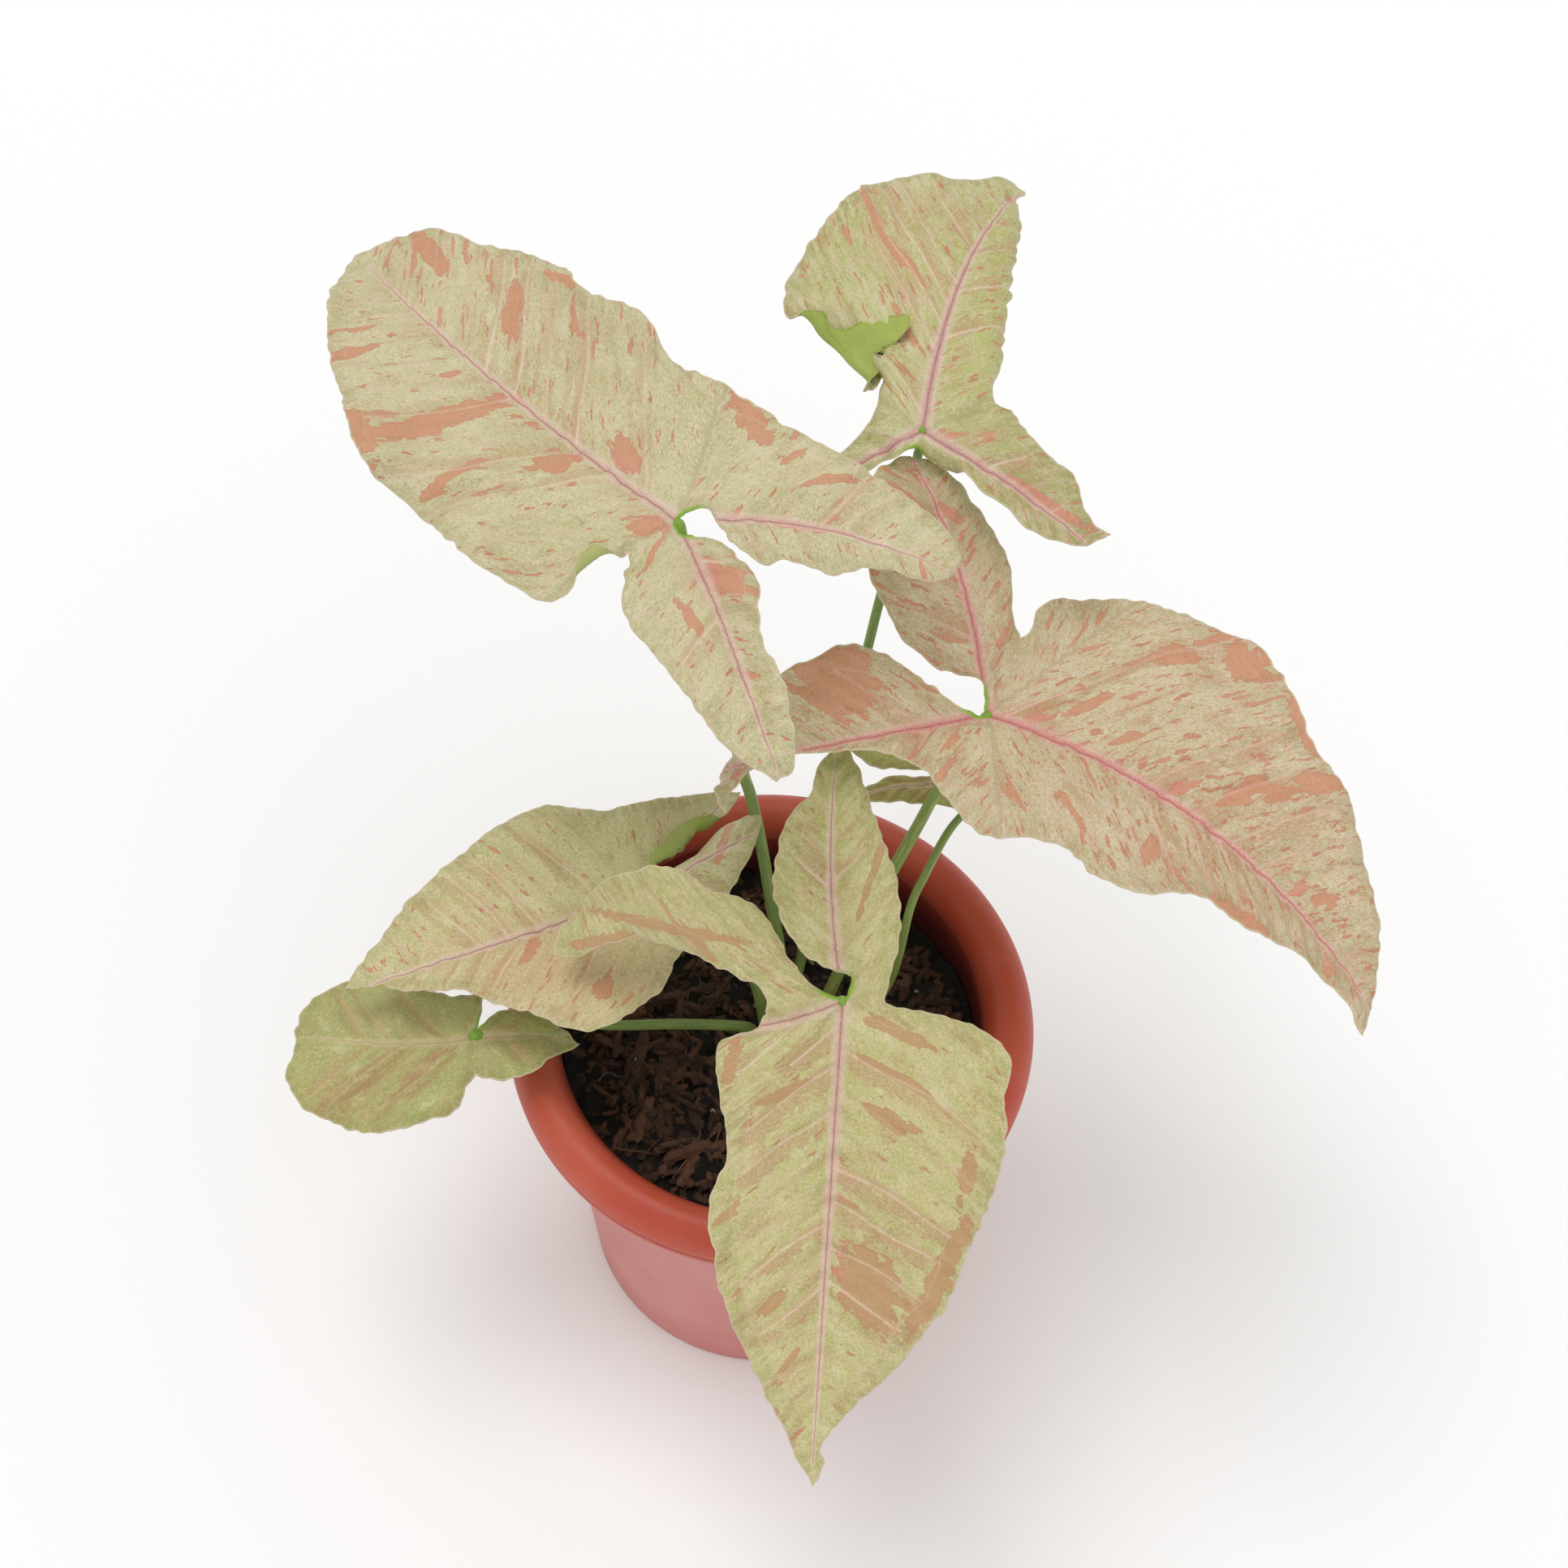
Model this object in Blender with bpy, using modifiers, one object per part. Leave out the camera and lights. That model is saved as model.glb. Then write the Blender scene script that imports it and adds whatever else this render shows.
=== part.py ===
# Arrowhead plant: seven leaves standing in potting mix in a round plastic pot.
# Sizes below are in millimetres and degrees. The origin is the centre of the pot's underside,
# +Z is up and -Y is the front.

import math
import random

import bmesh
import bpy
from mathutils import Matrix, Vector, noise
from mathutils.geometry import delaunay_2d_cdt

MM = 0.001
GAP = 0.3

# Pot
POT_HEIGHT = 125.0
RIM_RADIUS = 70.0
RIM_CREST_RADIUS = 63.3
RIM_DEPTH = 12.0
WALL_TOP_RADIUS = 58.5
FOOT_RADIUS = 50.3
FOOT_CHAMFER = 1.5
WALL = 1.8
FLOOR = 2.2
DRAIN_COUNT = 6
DRAIN_RADIUS = 3.5
DRAIN_CIRCLE = 33.0
POT_STEPS = 48
# Radius and depth below the top: over the rim from the inside, then back under it
RIM_OVER = [(57.4, 6.2), (57.9, 4.4), (59.4, 1.6), (61.3, 0.4), (RIM_CREST_RADIUS, 0),
            (65.4, 0.5), (67.6, 2.0), (69.2, 4.3), (RIM_RADIUS, 7.2)]
RIM_UNDER = [(66.6, 4), (RIM_CREST_RADIUS, 2.2), (61, 3.4)]
RIM_STEP = 0.5
RIM_STEP_DEPTH = 8.8
INNER_EDGE_DEPTH = 7.5

# Potting mix
SOIL_TOP = 107.0
SOIL_RELIEF = 2.4
CHIP_COUNT = 34
CHIP_SEED = 12
CHIP_LENGTH = (6, 13)
CHIP_WIDTH = (2.5, 5)
CHIP_DEPTH = 9.0
CHIP_PROUD = 1.2
CHIP_TILT = 0.3
CHIP_SPREAD = 44.0
SOIL_RINGS = [7, 14, 21, 28, 35, 42, 49]
SOIL_STEPS = 40
EDGE_CLEAR = 0.8
SOCKET_TOP = 22.0

# Leaves
BLADE = 0.8
FACET = 6.6
EDGE_FACET = 5.2
CURL_ROWS = 4
STALK_FOOT = 86.0
STALK_STEP = 9.0
STALK_DROP = 1.0
TAPER = 0.22

# Each leaf: "at" is the top of its stalk, "turn" is heading, pitch and roll of the main blade.
# A rib is given by its tip, its sideways bow, the rise and sag of its far end, and the slope of
# the blade on its left and right. Edge points are (along the main blade, across to its left),
# measured from the stalk, one smooth stroke after another.
# A curl wraps the blade beyond a line round a cylinder: up where its angle is above zero.
LEAF_A = {
    "at": (-26.6, 44.1, 273.4), "turn": (136, 0, 0), "size": 0.985, "wave": (1.2, 34, 20),
    "ribs": [
        {"tip": (114, 0), "bow": 4, "rise": 10, "sag": -14, "left": 8, "right": 8},
        {"tip": (-50, -42), "bow": 3, "rise": 6, "sag": -16, "left": 8, "right": -22},
        {"tip": (-60, 24), "bow": 0, "rise": 4, "sag": -22, "left": 28, "right": 6},
    ],
    "curls": [{"start": (5, 33), "end": (5, 15), "radius": 1.6, "angle": 150, "fade": 6, "reach": 8}],
    "edge": [
        [(118, 0), (115, -10), (108, -18), (95, -21.5), (85, -27), (73, -29.5), (60, -26), (45, -31),
         (29, -27), (12, -31), (-5, -37), (-23, -43), (-40, -48), (-47, -46.5), (-49.5, -41)],
        [(-49.5, -41), (-48, -36), (-38, -27), (-33, -18), (-24, -11), (-23, -6.5), (-17, -5),
         (-10, -5.5), (-4, -7.5), (-1, -5), (0.5, -1)],
        [(0.5, -1), (-2, 1.5), (-6, 0.5), (-11, -2.5), (-17, -2.5), (-26, -1), (-31, 3.5), (-38, 8.5),
         (-46, 10), (-52, 13.5), (-60, 19), (-59.5, 24.5)],
        [(-59.5, 24.5), (-49, 29), (-28, 28.5), (-12, 26.5), (-5, 21), (-1, 16), (0.5, 14.5)],
        [(0.5, 14.5), (0, 18), (-0.5, 23), (0.5, 28), (4.5, 35), (12, 39), (22.5, 43), (32, 42.5),
         (45, 42.5), (53, 45.5), (61, 44.5), (78.5, 35.5), (95.5, 26), (109, 15), (116, 5), (118, 0)],
    ],
    "stalk": [(2.5, 14, 104), (1.8, 17.7, 120), (-1.5, 23.4, 140), (-4.7, 29.8, 158),
              (-7.9, 33.7, 175), (-10.7, 35, 188), (-19, 40, 235), (-26.6, 44.1, 273.4)],
    "girth": 1.7,
}
LEAF_B = {
    "at": (29.4, 81.3, 264.7), "turn": (72, 2, 0), "size": 1.015, "wave": (1.0, 30, 0),
    "ribs": [
        {"tip": (92, 0), "bow": 7, "rise": 24, "sag": -38, "left": 8, "right": -12},
        {"tip": (-8, -46), "bow": 0, "rise": -2, "sag": -12, "left": 12, "right": 14},
        {"tip": (-18, 27), "bow": 0, "rise": -8, "sag": -20, "left": -6, "right": -10},
    ],
    "curls": [
        {"start": (23, 37), "end": (9, 12), "radius": 2.8, "angle": 165, "fade": 8, "reach": 24},
        {"start": (13, -9), "end": (97, 8), "radius": 4.0, "angle": -100, "fade": 9, "reach": 60},
        {"start": (-5, 6), "end": (0.5, -10), "radius": 2.5, "angle": -60, "fade": 5, "reach": 12},
    ],
    "edge": [
        [(95.5, 3.5), (89, -1), (82, -8), (72, -15), (60, -20), (46, -23), (32, -21), (19, -14)],
        [(19, -14), (14, -18), (8.5, -23.5), (5.5, -30.5), (5.5, -36.5), (1.5, -39.5), (-2.5, -43.5),
         (-3, -48.5)],
        [(-3, -48.5), (-8, -44.5), (-12.5, -37.5), (-14, -31), (-12, -24), (-10.5, -18.5),
         (-7.5, -14.5), (-8, -9), (-7, -4), (-4.5, 0)],
        [(-4.5, 0), (-7, 4), (-10, 9), (-13, 15), (-18, 22), (-20, 30)],
        [(-20, 30), (-13, 26.5), (-7, 19), (-2.5, 15), (1, 13), (5, 12.5), (11, 12.5), (16, 12),
         (21, 11.5)],
        [(21, 11.5), (14, 16), (7, 18.5), (1, 22), (-1, 28), (3, 34), (10, 38), (17.5, 39.5),
         (24.5, 43.5), (32, 45), (40.5, 44), (49, 41.5), (61.5, 39), (72, 37), (80, 31),
         (84, 25), (92, 16), (97, 9), (95.5, 3.5)],
    ],
    "stalk": [(6, 16, 104), (11, 34, 140), (17, 55, 180), (21.2, 67, 206), (25.5, 79, 226),
              (29, 88, 243), (29.6, 88, 254), (29.4, 81.3, 264.7)],
    "girth": 1.5,
}
LEAF_C = {
    "at": (49, 30, 222), "turn": (-32, -12, 0), "size": 1.0, "wave": (1.4, 36, 60),
    "ribs": [
        {"tip": (114, 0), "bow": 4, "rise": 40, "sag": -46, "left": 14, "right": 26},
        {"tip": (-52, 30), "bow": -3, "rise": 34, "sag": -6, "left": 0, "right": 6},
        {"tip": (-46, -42), "bow": 3, "rise": 8, "sag": -34, "left": 24, "right": 6},
    ],
    "curls": [],
    "edge": [
        [(115.5, -9.5), (103, -6), (95, -7.5), (85.5, -10), (77, -15), (64, -19.5), (55, -28),
         (45, -30), (34, -26), (27, -28.5), (18, -35), (11.5, -34.5), (3, -29.5), (-4, -25.5),
         (-15, -25), (-22, -28), (-31.5, -32.5), (-38, -39), (-40, -44.5), (-39, -49), (-36, -54.5)],
        [(-36, -54.5), (-40, -52), (-43, -47.5), (-45.5, -40), (-47, -28), (-46, -20), (-41.5, -14),
         (-36.5, -9), (-28.5, -6.5), (-20.5, -5.5), (-12, -4.5), (-5.5, -3.5), (-0.5, -0.5)],
        [(-0.5, -0.5), (-3, 2.5), (-6, 4.5), (-10, 2), (-14, 0), (-20, -1.5), (-28, -1.5),
         (-35, 0.5), (-41, 2.5), (-47, 6), (-52.5, 13), (-54.5, 21), (-51, 29.5)],
        [(-51, 29.5), (-42.5, 33), (-33.5, 33), (-22, 30.5), (-14.5, 25.5), (-9, 21), (-4.5, 19)],
        [(-4.5, 19), (-3.5, 22), (-5, 27), (-3, 33), (5.5, 41.5), (16, 45), (29, 50.5), (40, 53),
         (47, 50), (55, 43), (66.5, 35), (76, 33.5), (83, 31.5), (97.5, 21), (107, 12),
         (113, 3), (115.5, -9.5)],
    ],
    "stalk": [(14, 12, 104), (22, 19, 132), (30, 25, 157), (35, 28, 173), (39.6, 30, 190),
              (44.5, 31, 207), (49, 30, 222)],
    "girth": 1.8,
}
LEAF_D = {
    "at": (17, -30, 185), "turn": (-93, -30, 0), "size": 1.0, "wave": (1.3, 36, 0),
    "ribs": [
        {"tip": (114, 3), "bow": 0, "rise": 8, "sag": -12, "left": 6, "right": 6},
        {"tip": (-58, -7), "bow": 2, "rise": 0, "sag": -8, "left": 10, "right": 10},
        {"tip": (-6, -70), "bow": 12, "rise": 20, "sag": -40, "left": 14, "right": 8},
    ],
    "curls": [],
    "edge": [
        [(116, 3.5), (110, 5.5), (106, 4.5), (96.5, 11), (84, 21.5), (68, 31), (54.5, 35.5),
         (39.5, 40), (27.5, 41), (18.5, 40), (10.5, 41), (5.5, 37), (2.5, 31), (0.5, 19), (-0.5, 10)],
        [(-0.5, 10), (-7, 10.5), (-13.5, 12), (-22, 12), (-34.5, 8.5), (-47, 2.5), (-55, -0.5),
         (-62, -5)],
        [(-62, -5), (-57.5, -10.5), (-49.5, -12.5), (-45, -16), (-38, -18.5), (-26.5, -19),
         (-16, -15), (-10, -9.5), (-7.5, -4), (-6, 1.5)],
        [(-6, 1.5), (-1, 1), (-1.5, -3.5), (-4.5, -9), (-9, -13.5), (-17, -19), (-21.5, -23.5),
         (-23, -29), (-24.5, -35), (-28, -43), (-25, -57.5), (-20, -65), (-10.5, -71.5), (-4, -72)],
        [(-4, -72), (-4.5, -66), (-9, -56), (-10.5, -49), (-8.5, -40), (-2.5, -23), (1, -18.5),
         (5, -17.5)],
        [(5, -17.5), (9, -21.5), (12.5, -28.5), (22, -28), (37.5, -24), (50, -27), (62.5, -25),
         (79, -19), (97, -8.5), (111, 0), (116, 3.5)],
    ],
    "stalk": [(19, 11, 104), (18.6, 1, 124), (18, -12, 150), (17.5, -23, 171), (17, -30, 185)],
    "girth": 1.7,
}
LEAF_E = {
    "at": (-36, 14, 155), "turn": (199, -6, 0), "size": 1.0, "wave": (1.0, 30, 0),
    "ribs": [
        {"tip": (80, -2), "bow": 0, "rise": 12, "sag": -20, "left": 20, "right": 12},
        {"tip": (-36, 1), "bow": 0, "rise": 24, "sag": -8, "left": 6, "right": 2},
        {"tip": (-32, -29), "bow": 0, "rise": -6, "sag": -6, "left": 12, "right": 4},
    ],
    "curls": [{"start": (0, -6), "end": (-30, -25), "radius": 1.4, "angle": 150, "fade": 8, "reach": 5.7}],
    "edge": [
        [(80, -3), (71, -8.5), (58, -15.5), (45, -22), (32, -28), (18.5, -30), (7, -28), (-4, -26.5),
         (-14, -28), (-23, -29.5), (-30.5, -30.5), (-35, -28)],
        [(-35, -28), (-31, -23), (-25, -17), (-17, -10.5), (-9, -6), (-2, -3)],
        [(-2, -3), (-8, -4), (-15, -6.5), (-22, -8.5), (-28.5, -9), (-33, -7), (-35.5, -3.5),
         (-34.5, 0), (-32, 4), (-27.5, 8.5), (-23, 11.5), (-17, 15.5), (-11, 19.5), (-6, 23),
         (-1, 28.5), (6, 32), (13, 35.5), (20, 37.5), (27, 34.5), (32, 29.5), (41, 23.5),
         (48.5, 14.5), (56, 10), (64, 5), (71, -0.5), (80, -3)],
    ],
    "stalk": [(-1, 2, 104), (-2, 3, 113), (-5, 5, 130), (-12, 8, 144), (-23, 11.5, 152),
              (-36, 14, 155)],
    "girth": 1.7,
}
LEAF_F = {
    "at": (-77, -19, 136), "turn": (177, -8, 0), "size": 1.0, "wave": (0.8, 24, 0),
    "ribs": [
        {"tip": (46, 0), "bow": 2, "rise": 0, "sag": 0, "left": -16, "right": -28},
        {"tip": (-28, -3), "bow": 0, "rise": 3, "sag": -8, "left": -10, "right": 6},
        {"tip": (-3, -12), "bow": 0, "rise": 3, "sag": 0, "left": 0, "right": 0},
    ],
    "curls": [],
    "edge": [
        [(48, -3), (47, -10), (42, -18), (34, -21.5), (24, -18), (15, -15), (6, -12), (-2, -12.5)],
        [(-2, -12.5), (-1.5, -8), (-1.5, -3), (0, 0)],
        [(0, 0), (-2.5, -4), (-7.5, -8), (-15, -8), (-21.5, -6), (-28, -2.5)],
        [(-28, -2.5), (-22.5, 3.5), (-17, 9.5), (-9, 11.5), (-3, 10.5)],
        [(-3, 10.5), (-1, 15), (0.5, 20), (7.5, 22.5), (15.5, 26), (25, 26.5), (35, 22.5),
         (43, 18.5), (48, 10), (47, 3), (48, -3)],
    ],
    "stalk": [(-4.5, 3, 104), (-8, 0.5, 112), (-24, -4.4, 121), (-40.7, -8.8, 127),
              (-57.2, -10.2, 130), (-68, -13.5, 131.5), (-77, -19, 136)],
    "girth": 1.6,
}
LEAF_G = {
    "at": (55, 41, 175), "turn": (-2, -6, 0), "size": 1.0, "wave": (1.0, 28, 0),
    "ribs": [
        {"tip": (64, 7), "bow": 0, "rise": 8, "sag": -14, "left": 8, "right": 8},
        {"tip": (-34, -5), "bow": 0, "rise": 3, "sag": -8, "left": 8, "right": -16},
        {"tip": (-38, 13), "bow": 0, "rise": 1, "sag": -10, "left": 10, "right": 6},
    ],
    "curls": [],
    "edge": [
        [(64, 7), (57, 0), (46, -6), (30, -11), (14, -14), (3, -14), (-4, -11.5)],
        [(-4, -11.5), (-12, -10), (-18, -9), (-27, -8.5), (-34, -7)],
        [(-34, -7), (-33, -3), (-27, -0.5), (-18, 0), (-8, -0.5), (-0.5, 0)],
        [(-0.5, 0), (-8, 2.5), (-18, 3), (-28.5, 3), (-34, 6), (-40, 12)],
        [(-40, 12), (-30, 19), (-18, 21), (-8, 18), (-2, 16)],
        [(-2, 16), (3, 21), (13, 24.5), (27, 25.5), (42, 23), (55, 16.5), (64, 7)],
    ],
    "stalk": [(26, 8, 104), (32, 12, 125), (35, 19, 148), (38, 24, 155), (43, 31, 165),
              (48, 36, 169.5), (55, 41, 175)],
    "girth": 1.3,
}
LEAVES = {"a": LEAF_A, "b": LEAF_B, "c": LEAF_C, "d": LEAF_D, "e": LEAF_E, "f": LEAF_F, "g": LEAF_G}

# Colours, roughness
COLORS = {
    "pot": ((0.47, 0.075, 0.035), 0.45),
    "soil": ((0.030, 0.016, 0.010), 0.95),
    "leaf": ((0.52, 0.50, 0.26), 0.50),
    "stalk": ((0.30, 0.36, 0.13), 0.45),
}


# Scene helpers

def clear_scene():
    for item in list(bpy.data.objects):
        bpy.data.objects.remove(item)


def new_collection(name):
    group = bpy.data.collections.new(name)
    bpy.context.scene.collection.children.link(group)
    return group


def add_object(name, mesh, group):
    item = bpy.data.objects.new(name, mesh)
    group.objects.link(item)
    return item


def add_material(item, kind):
    color, roughness = COLORS[kind]
    material = bpy.data.materials.new(item.name + "_finish")
    material.use_nodes = True
    shader = material.node_tree.nodes["Principled BSDF"]
    shader.inputs["Base Color"].default_value = (*color, 1.0)
    shader.inputs["Roughness"].default_value = roughness
    shader.inputs["Metallic"].default_value = 0.0
    item.data.materials.append(material)


def hide_tool(item):
    item.hide_render = True
    item.display_type = "WIRE"


def turned(name, profile, steps, group):
    mesh = bpy.data.meshes.new(name)
    points = [(r * MM, 0.0, z * MM) for r, z in profile]
    mesh.from_pydata(points, [(i, i + 1) for i in range(len(points) - 1)], [])
    item = add_object(name, mesh, group)
    screw = item.modifiers.new("turn", "SCREW")
    screw.angle = math.tau
    screw.steps = screw.render_steps = steps
    screw.use_merge_vertices = True
    screw.merge_threshold = 0.00002
    screw.use_smooth_shade = True
    return item


# Smooth curves through points

def spline_point(points, index, t):
    count = len(points)
    p1, p2 = points[index], points[index + 1]
    p0 = points[index - 1] if index > 0 else p1 * 2 - p2
    p3 = points[index + 2] if index + 2 < count else p2 * 2 - p1
    return 0.5 * (p1 * 2 + (p2 - p0) * t + (p0 * 2 - p1 * 5 + p2 * 4 - p3) * t * t
                  + (p1 * 3 - p0 - p2 * 3 + p3) * t ** 3)


def smooth_path(points, step):
    points = [Vector(p) for p in points]
    dense = []
    for index in range(len(points) - 1):
        dense += [spline_point(points, index, k / 12) for k in range(12)]
    dense.append(points[-1])
    length = sum((b - a).length for a, b in zip(dense, dense[1:]))
    count = max(2, round(length / step))
    result = [dense[0]]
    travelled, target = 0.0, length / count
    for a, b in zip(dense, dense[1:]):
        piece = (b - a).length
        while travelled + piece >= target - 1e-6 and len(result) < count:
            result.append(a.lerp(b, (target - travelled) / piece))
            target += length / count
        travelled += piece
    result.append(dense[-1])
    return result


# Leaf shape

def ease(x):
    x = min(1.0, max(0.0, x))
    return x * x * (3 - 2 * x)


def rib_measure(rib, u, v):
    length = math.hypot(*rib["tip"])
    eu, ev = rib["tip"][0] / length, rib["tip"][1] / length
    along = u * eu + v * ev
    t = min(1.0, max(0.0, along / length))
    side = v * eu - u * ev - rib["bow"] * 4 * t * (1 - t)
    beyond = max(-along, along - length, 0.0)
    return t, side, math.hypot(beyond, side)


def blade_height(leaf, u, v):
    total = weights = 0.0
    nearest = 1e9
    for rib in leaf["ribs"]:
        t, side, distance = rib_measure(rib, u, v)
        weight = 1 / (distance + 3) ** 3
        left = 1 / (1 + math.exp(-side / 1.2))
        slope = math.tan(math.radians(rib["left"])) * left
        slope += math.tan(math.radians(rib["right"])) * (1 - left)
        height = rib["sag"] * t * t + rib["rise"] * t + slope * (math.hypot(distance, 1) - 1)
        total += weight * height
        weights += weight
        nearest = min(nearest, distance)
    amplitude, wavelength, phase = leaf["wave"]
    shift = 0.0 if v > 0 else 2.0
    angle = math.tau * (u * 0.85 + abs(v) * 0.5) / wavelength + math.radians(phase) + shift
    return total / weights + amplitude * min(nearest / 25, 1.3) ** 2 * math.sin(angle)


def curl_shift(curl, u, v):
    start, end = Vector(curl["start"]), Vector(curl["end"])
    length = (end - start).length
    line = (end - start) / length
    away = Vector((line.y, -line.x))
    offset = Vector((u, v)) - start
    along, beyond = offset.dot(line), max(0.0, offset.dot(away))
    bend = ease(along / curl["fade"]) * ease((length - along) / curl["fade"]) / curl["radius"]
    if bend < 1e-4 or beyond > curl["reach"]:
        return Vector((0.0, 0.0, 0.0))
    turn = math.radians(abs(curl["angle"]))
    angle = min(bend * beyond, turn)
    rest = beyond - angle / bend
    out = math.sin(angle) / bend + rest * math.cos(angle) - beyond
    rise = (1 - math.cos(angle)) / bend + rest * math.sin(angle)
    return Vector((out * away.x, out * away.y, math.copysign(rise, curl["angle"])))


def leaf_frame(leaf):
    heading, pitch, roll = (math.radians(a) for a in leaf["turn"])
    lean = Matrix.Rotation(-pitch, 3, "Y") @ Matrix.Rotation(roll, 3, "X")
    return Matrix.Rotation(heading, 3, "Z") @ lean, Vector(leaf["at"])


def blade_point(leaf, u, v):
    local = Vector((u, v, blade_height(leaf, u, v)))
    for curl in leaf["curls"]:
        local += curl_shift(curl, u, v)
    turn, place = leaf_frame(leaf)
    return turn @ local * leaf["size"] + place


def inside(outline, p):
    odd = False
    for a, b in zip(outline, outline[1:] + outline[:1]):
        if (a.y > p.y) != (b.y > p.y) and p.x < a.x + (p.y - a.y) * (b.x - a.x) / (b.y - a.y):
            odd = not odd
    return odd


def clear_of(points, p, distance):
    return all((q - p).length > distance for q in points)


def curl_points(curl, facet):
    start, end = Vector(curl["start"]), Vector(curl["end"])
    line = (end - start).normalized()
    away = Vector((line.y, -line.x))
    count = max(2, round((end - start).length / facet))
    arc = curl["radius"] * math.radians(abs(curl["angle"]))
    rows = [arc * k / CURL_ROWS for k in range(CURL_ROWS + 1)]
    return [start.lerp(end, k / count) + away * row for row in rows for k in range(count + 1)]


def flat_blade(leaf, facet, edge_facet):
    outline = []
    for stroke in leaf["edge"]:
        outline += smooth_path(stroke, edge_facet)[:-1]
    ribs = []
    for rib in leaf["ribs"]:
        length = math.hypot(*rib["tip"])
        line = Vector(rib["tip"]) / length
        across = Vector((-line.y, line.x))
        count = int(length * 0.9 / facet)
        for k in range(1, count + 1):
            t = 0.9 * k / count
            p = line * length * t + across * rib["bow"] * 4 * t * (1 - t)
            if inside(outline, p) and clear_of(outline, p, 0.4 * facet) and clear_of(ribs, p, 0.5 * facet):
                ribs.append(p)
    for curl in leaf["curls"]:
        for p in curl_points(curl, 0.7 * facet):
            if inside(outline, p) and clear_of(outline, p, 0.25 * facet) and clear_of(ribs, p, 0.2 * facet):
                ribs.append(p)
    points = outline + ribs
    fixed = len(points)
    reach = [max(abs(p[k]) for p in outline) + facet for k in (0, 1)]
    row = 0
    v = -reach[1]
    while v < reach[1]:
        u = -reach[0] + (facet / 2 if row % 2 else 0)
        while u < reach[0]:
            p = Vector((u, v))
            if inside(outline, p) and clear_of(points[:fixed], p, 0.62 * facet):
                points.append(p)
            u += facet
        v += facet * math.sqrt(0.75)
        row += 1
    result = delaunay_2d_cdt(points, [], [list(range(len(outline)))], 1, 1e-5)
    return result[0], result[2]


def blade_mesh(name, leaf):
    flat, faces = flat_blade(leaf, FACET, EDGE_FACET)
    mesh = bpy.data.meshes.new(name)
    mesh.from_pydata([blade_point(leaf, p.x, p.y) * MM for p in flat], [], faces)
    return mesh


def stalk_path(leaf):
    foot = Vector(leaf["stalk"][0])
    return smooth_path([(foot.x, foot.y, STALK_FOOT)] + leaf["stalk"], STALK_STEP)


def tube_mesh(name, path, radii):
    curve = bpy.data.curves.new(name, "CURVE")
    curve.dimensions = "3D"
    curve.bevel_depth = MM
    curve.bevel_resolution = 2
    curve.use_fill_caps = True
    line = curve.splines.new("POLY")
    line.points.add(len(path) - 1)
    for point, place, radius in zip(line.points, path, radii):
        point.co = (*(place * MM), 1.0)
        point.radius = radius
    item = add_object(name + "_line", curve, bpy.context.scene.collection)
    graph = bpy.context.evaluated_depsgraph_get()
    mesh = bpy.data.meshes.new_from_object(item.evaluated_get(graph))
    bpy.data.objects.remove(item)
    shape = bmesh.new()
    shape.from_mesh(mesh)
    bmesh.ops.remove_doubles(shape, verts=shape.verts, dist=0.00001)
    shape.to_mesh(mesh)
    shape.free()
    return mesh


def trim_top(mesh, leaf):
    # The stalk ends just under the blade, parallel to it.
    turn, place = leaf_frame(leaf)
    normal = turn @ Vector((0, 0, 1))
    level = (place - normal * (BLADE + STALK_DROP)) * MM
    shape = bmesh.new()
    shape.from_mesh(mesh)
    everything = shape.verts[:] + shape.edges[:] + shape.faces[:]
    bmesh.ops.bisect_plane(shape, geom=everything, plane_co=level, plane_no=normal, clear_outer=True)
    bmesh.ops.holes_fill(shape, edges=[edge for edge in shape.edges if edge.is_boundary])
    shape.to_mesh(mesh)
    shape.free()


def make_blade(letter, leaf, parts):
    name = "leaf_" + letter
    item = add_object(name, blade_mesh(name, leaf), parts)
    add_material(item, "leaf")
    shell = item.modifiers.new("thickness", "SOLIDIFY")
    shell.thickness = BLADE * MM
    shell.offset = -1.0
    item.data.shade_smooth()


def make_stalk(letter, leaf, parts):
    path = stalk_path(leaf)
    path.append(path[-1] + (path[-1] - path[-2]).normalized() * 3)
    count = len(path)
    radii = [leaf["girth"] * (1 - TAPER * k / count) for k in range(count)]
    mesh = tube_mesh("stalk_" + letter, path, radii)
    trim_top(mesh, leaf)
    item = add_object("stalk_" + letter, mesh, parts)
    add_material(item, "stalk")
    item.data.shade_smooth()
    item.data.set_sharp_from_angle(angle=math.radians(50))


# Pot

def wall_radius(z):
    return FOOT_RADIUS + (WALL_TOP_RADIUS - FOOT_RADIUS) * z / (POT_HEIGHT - RIM_DEPTH)


def inner_radius(z):
    return wall_radius(z) - WALL


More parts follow.
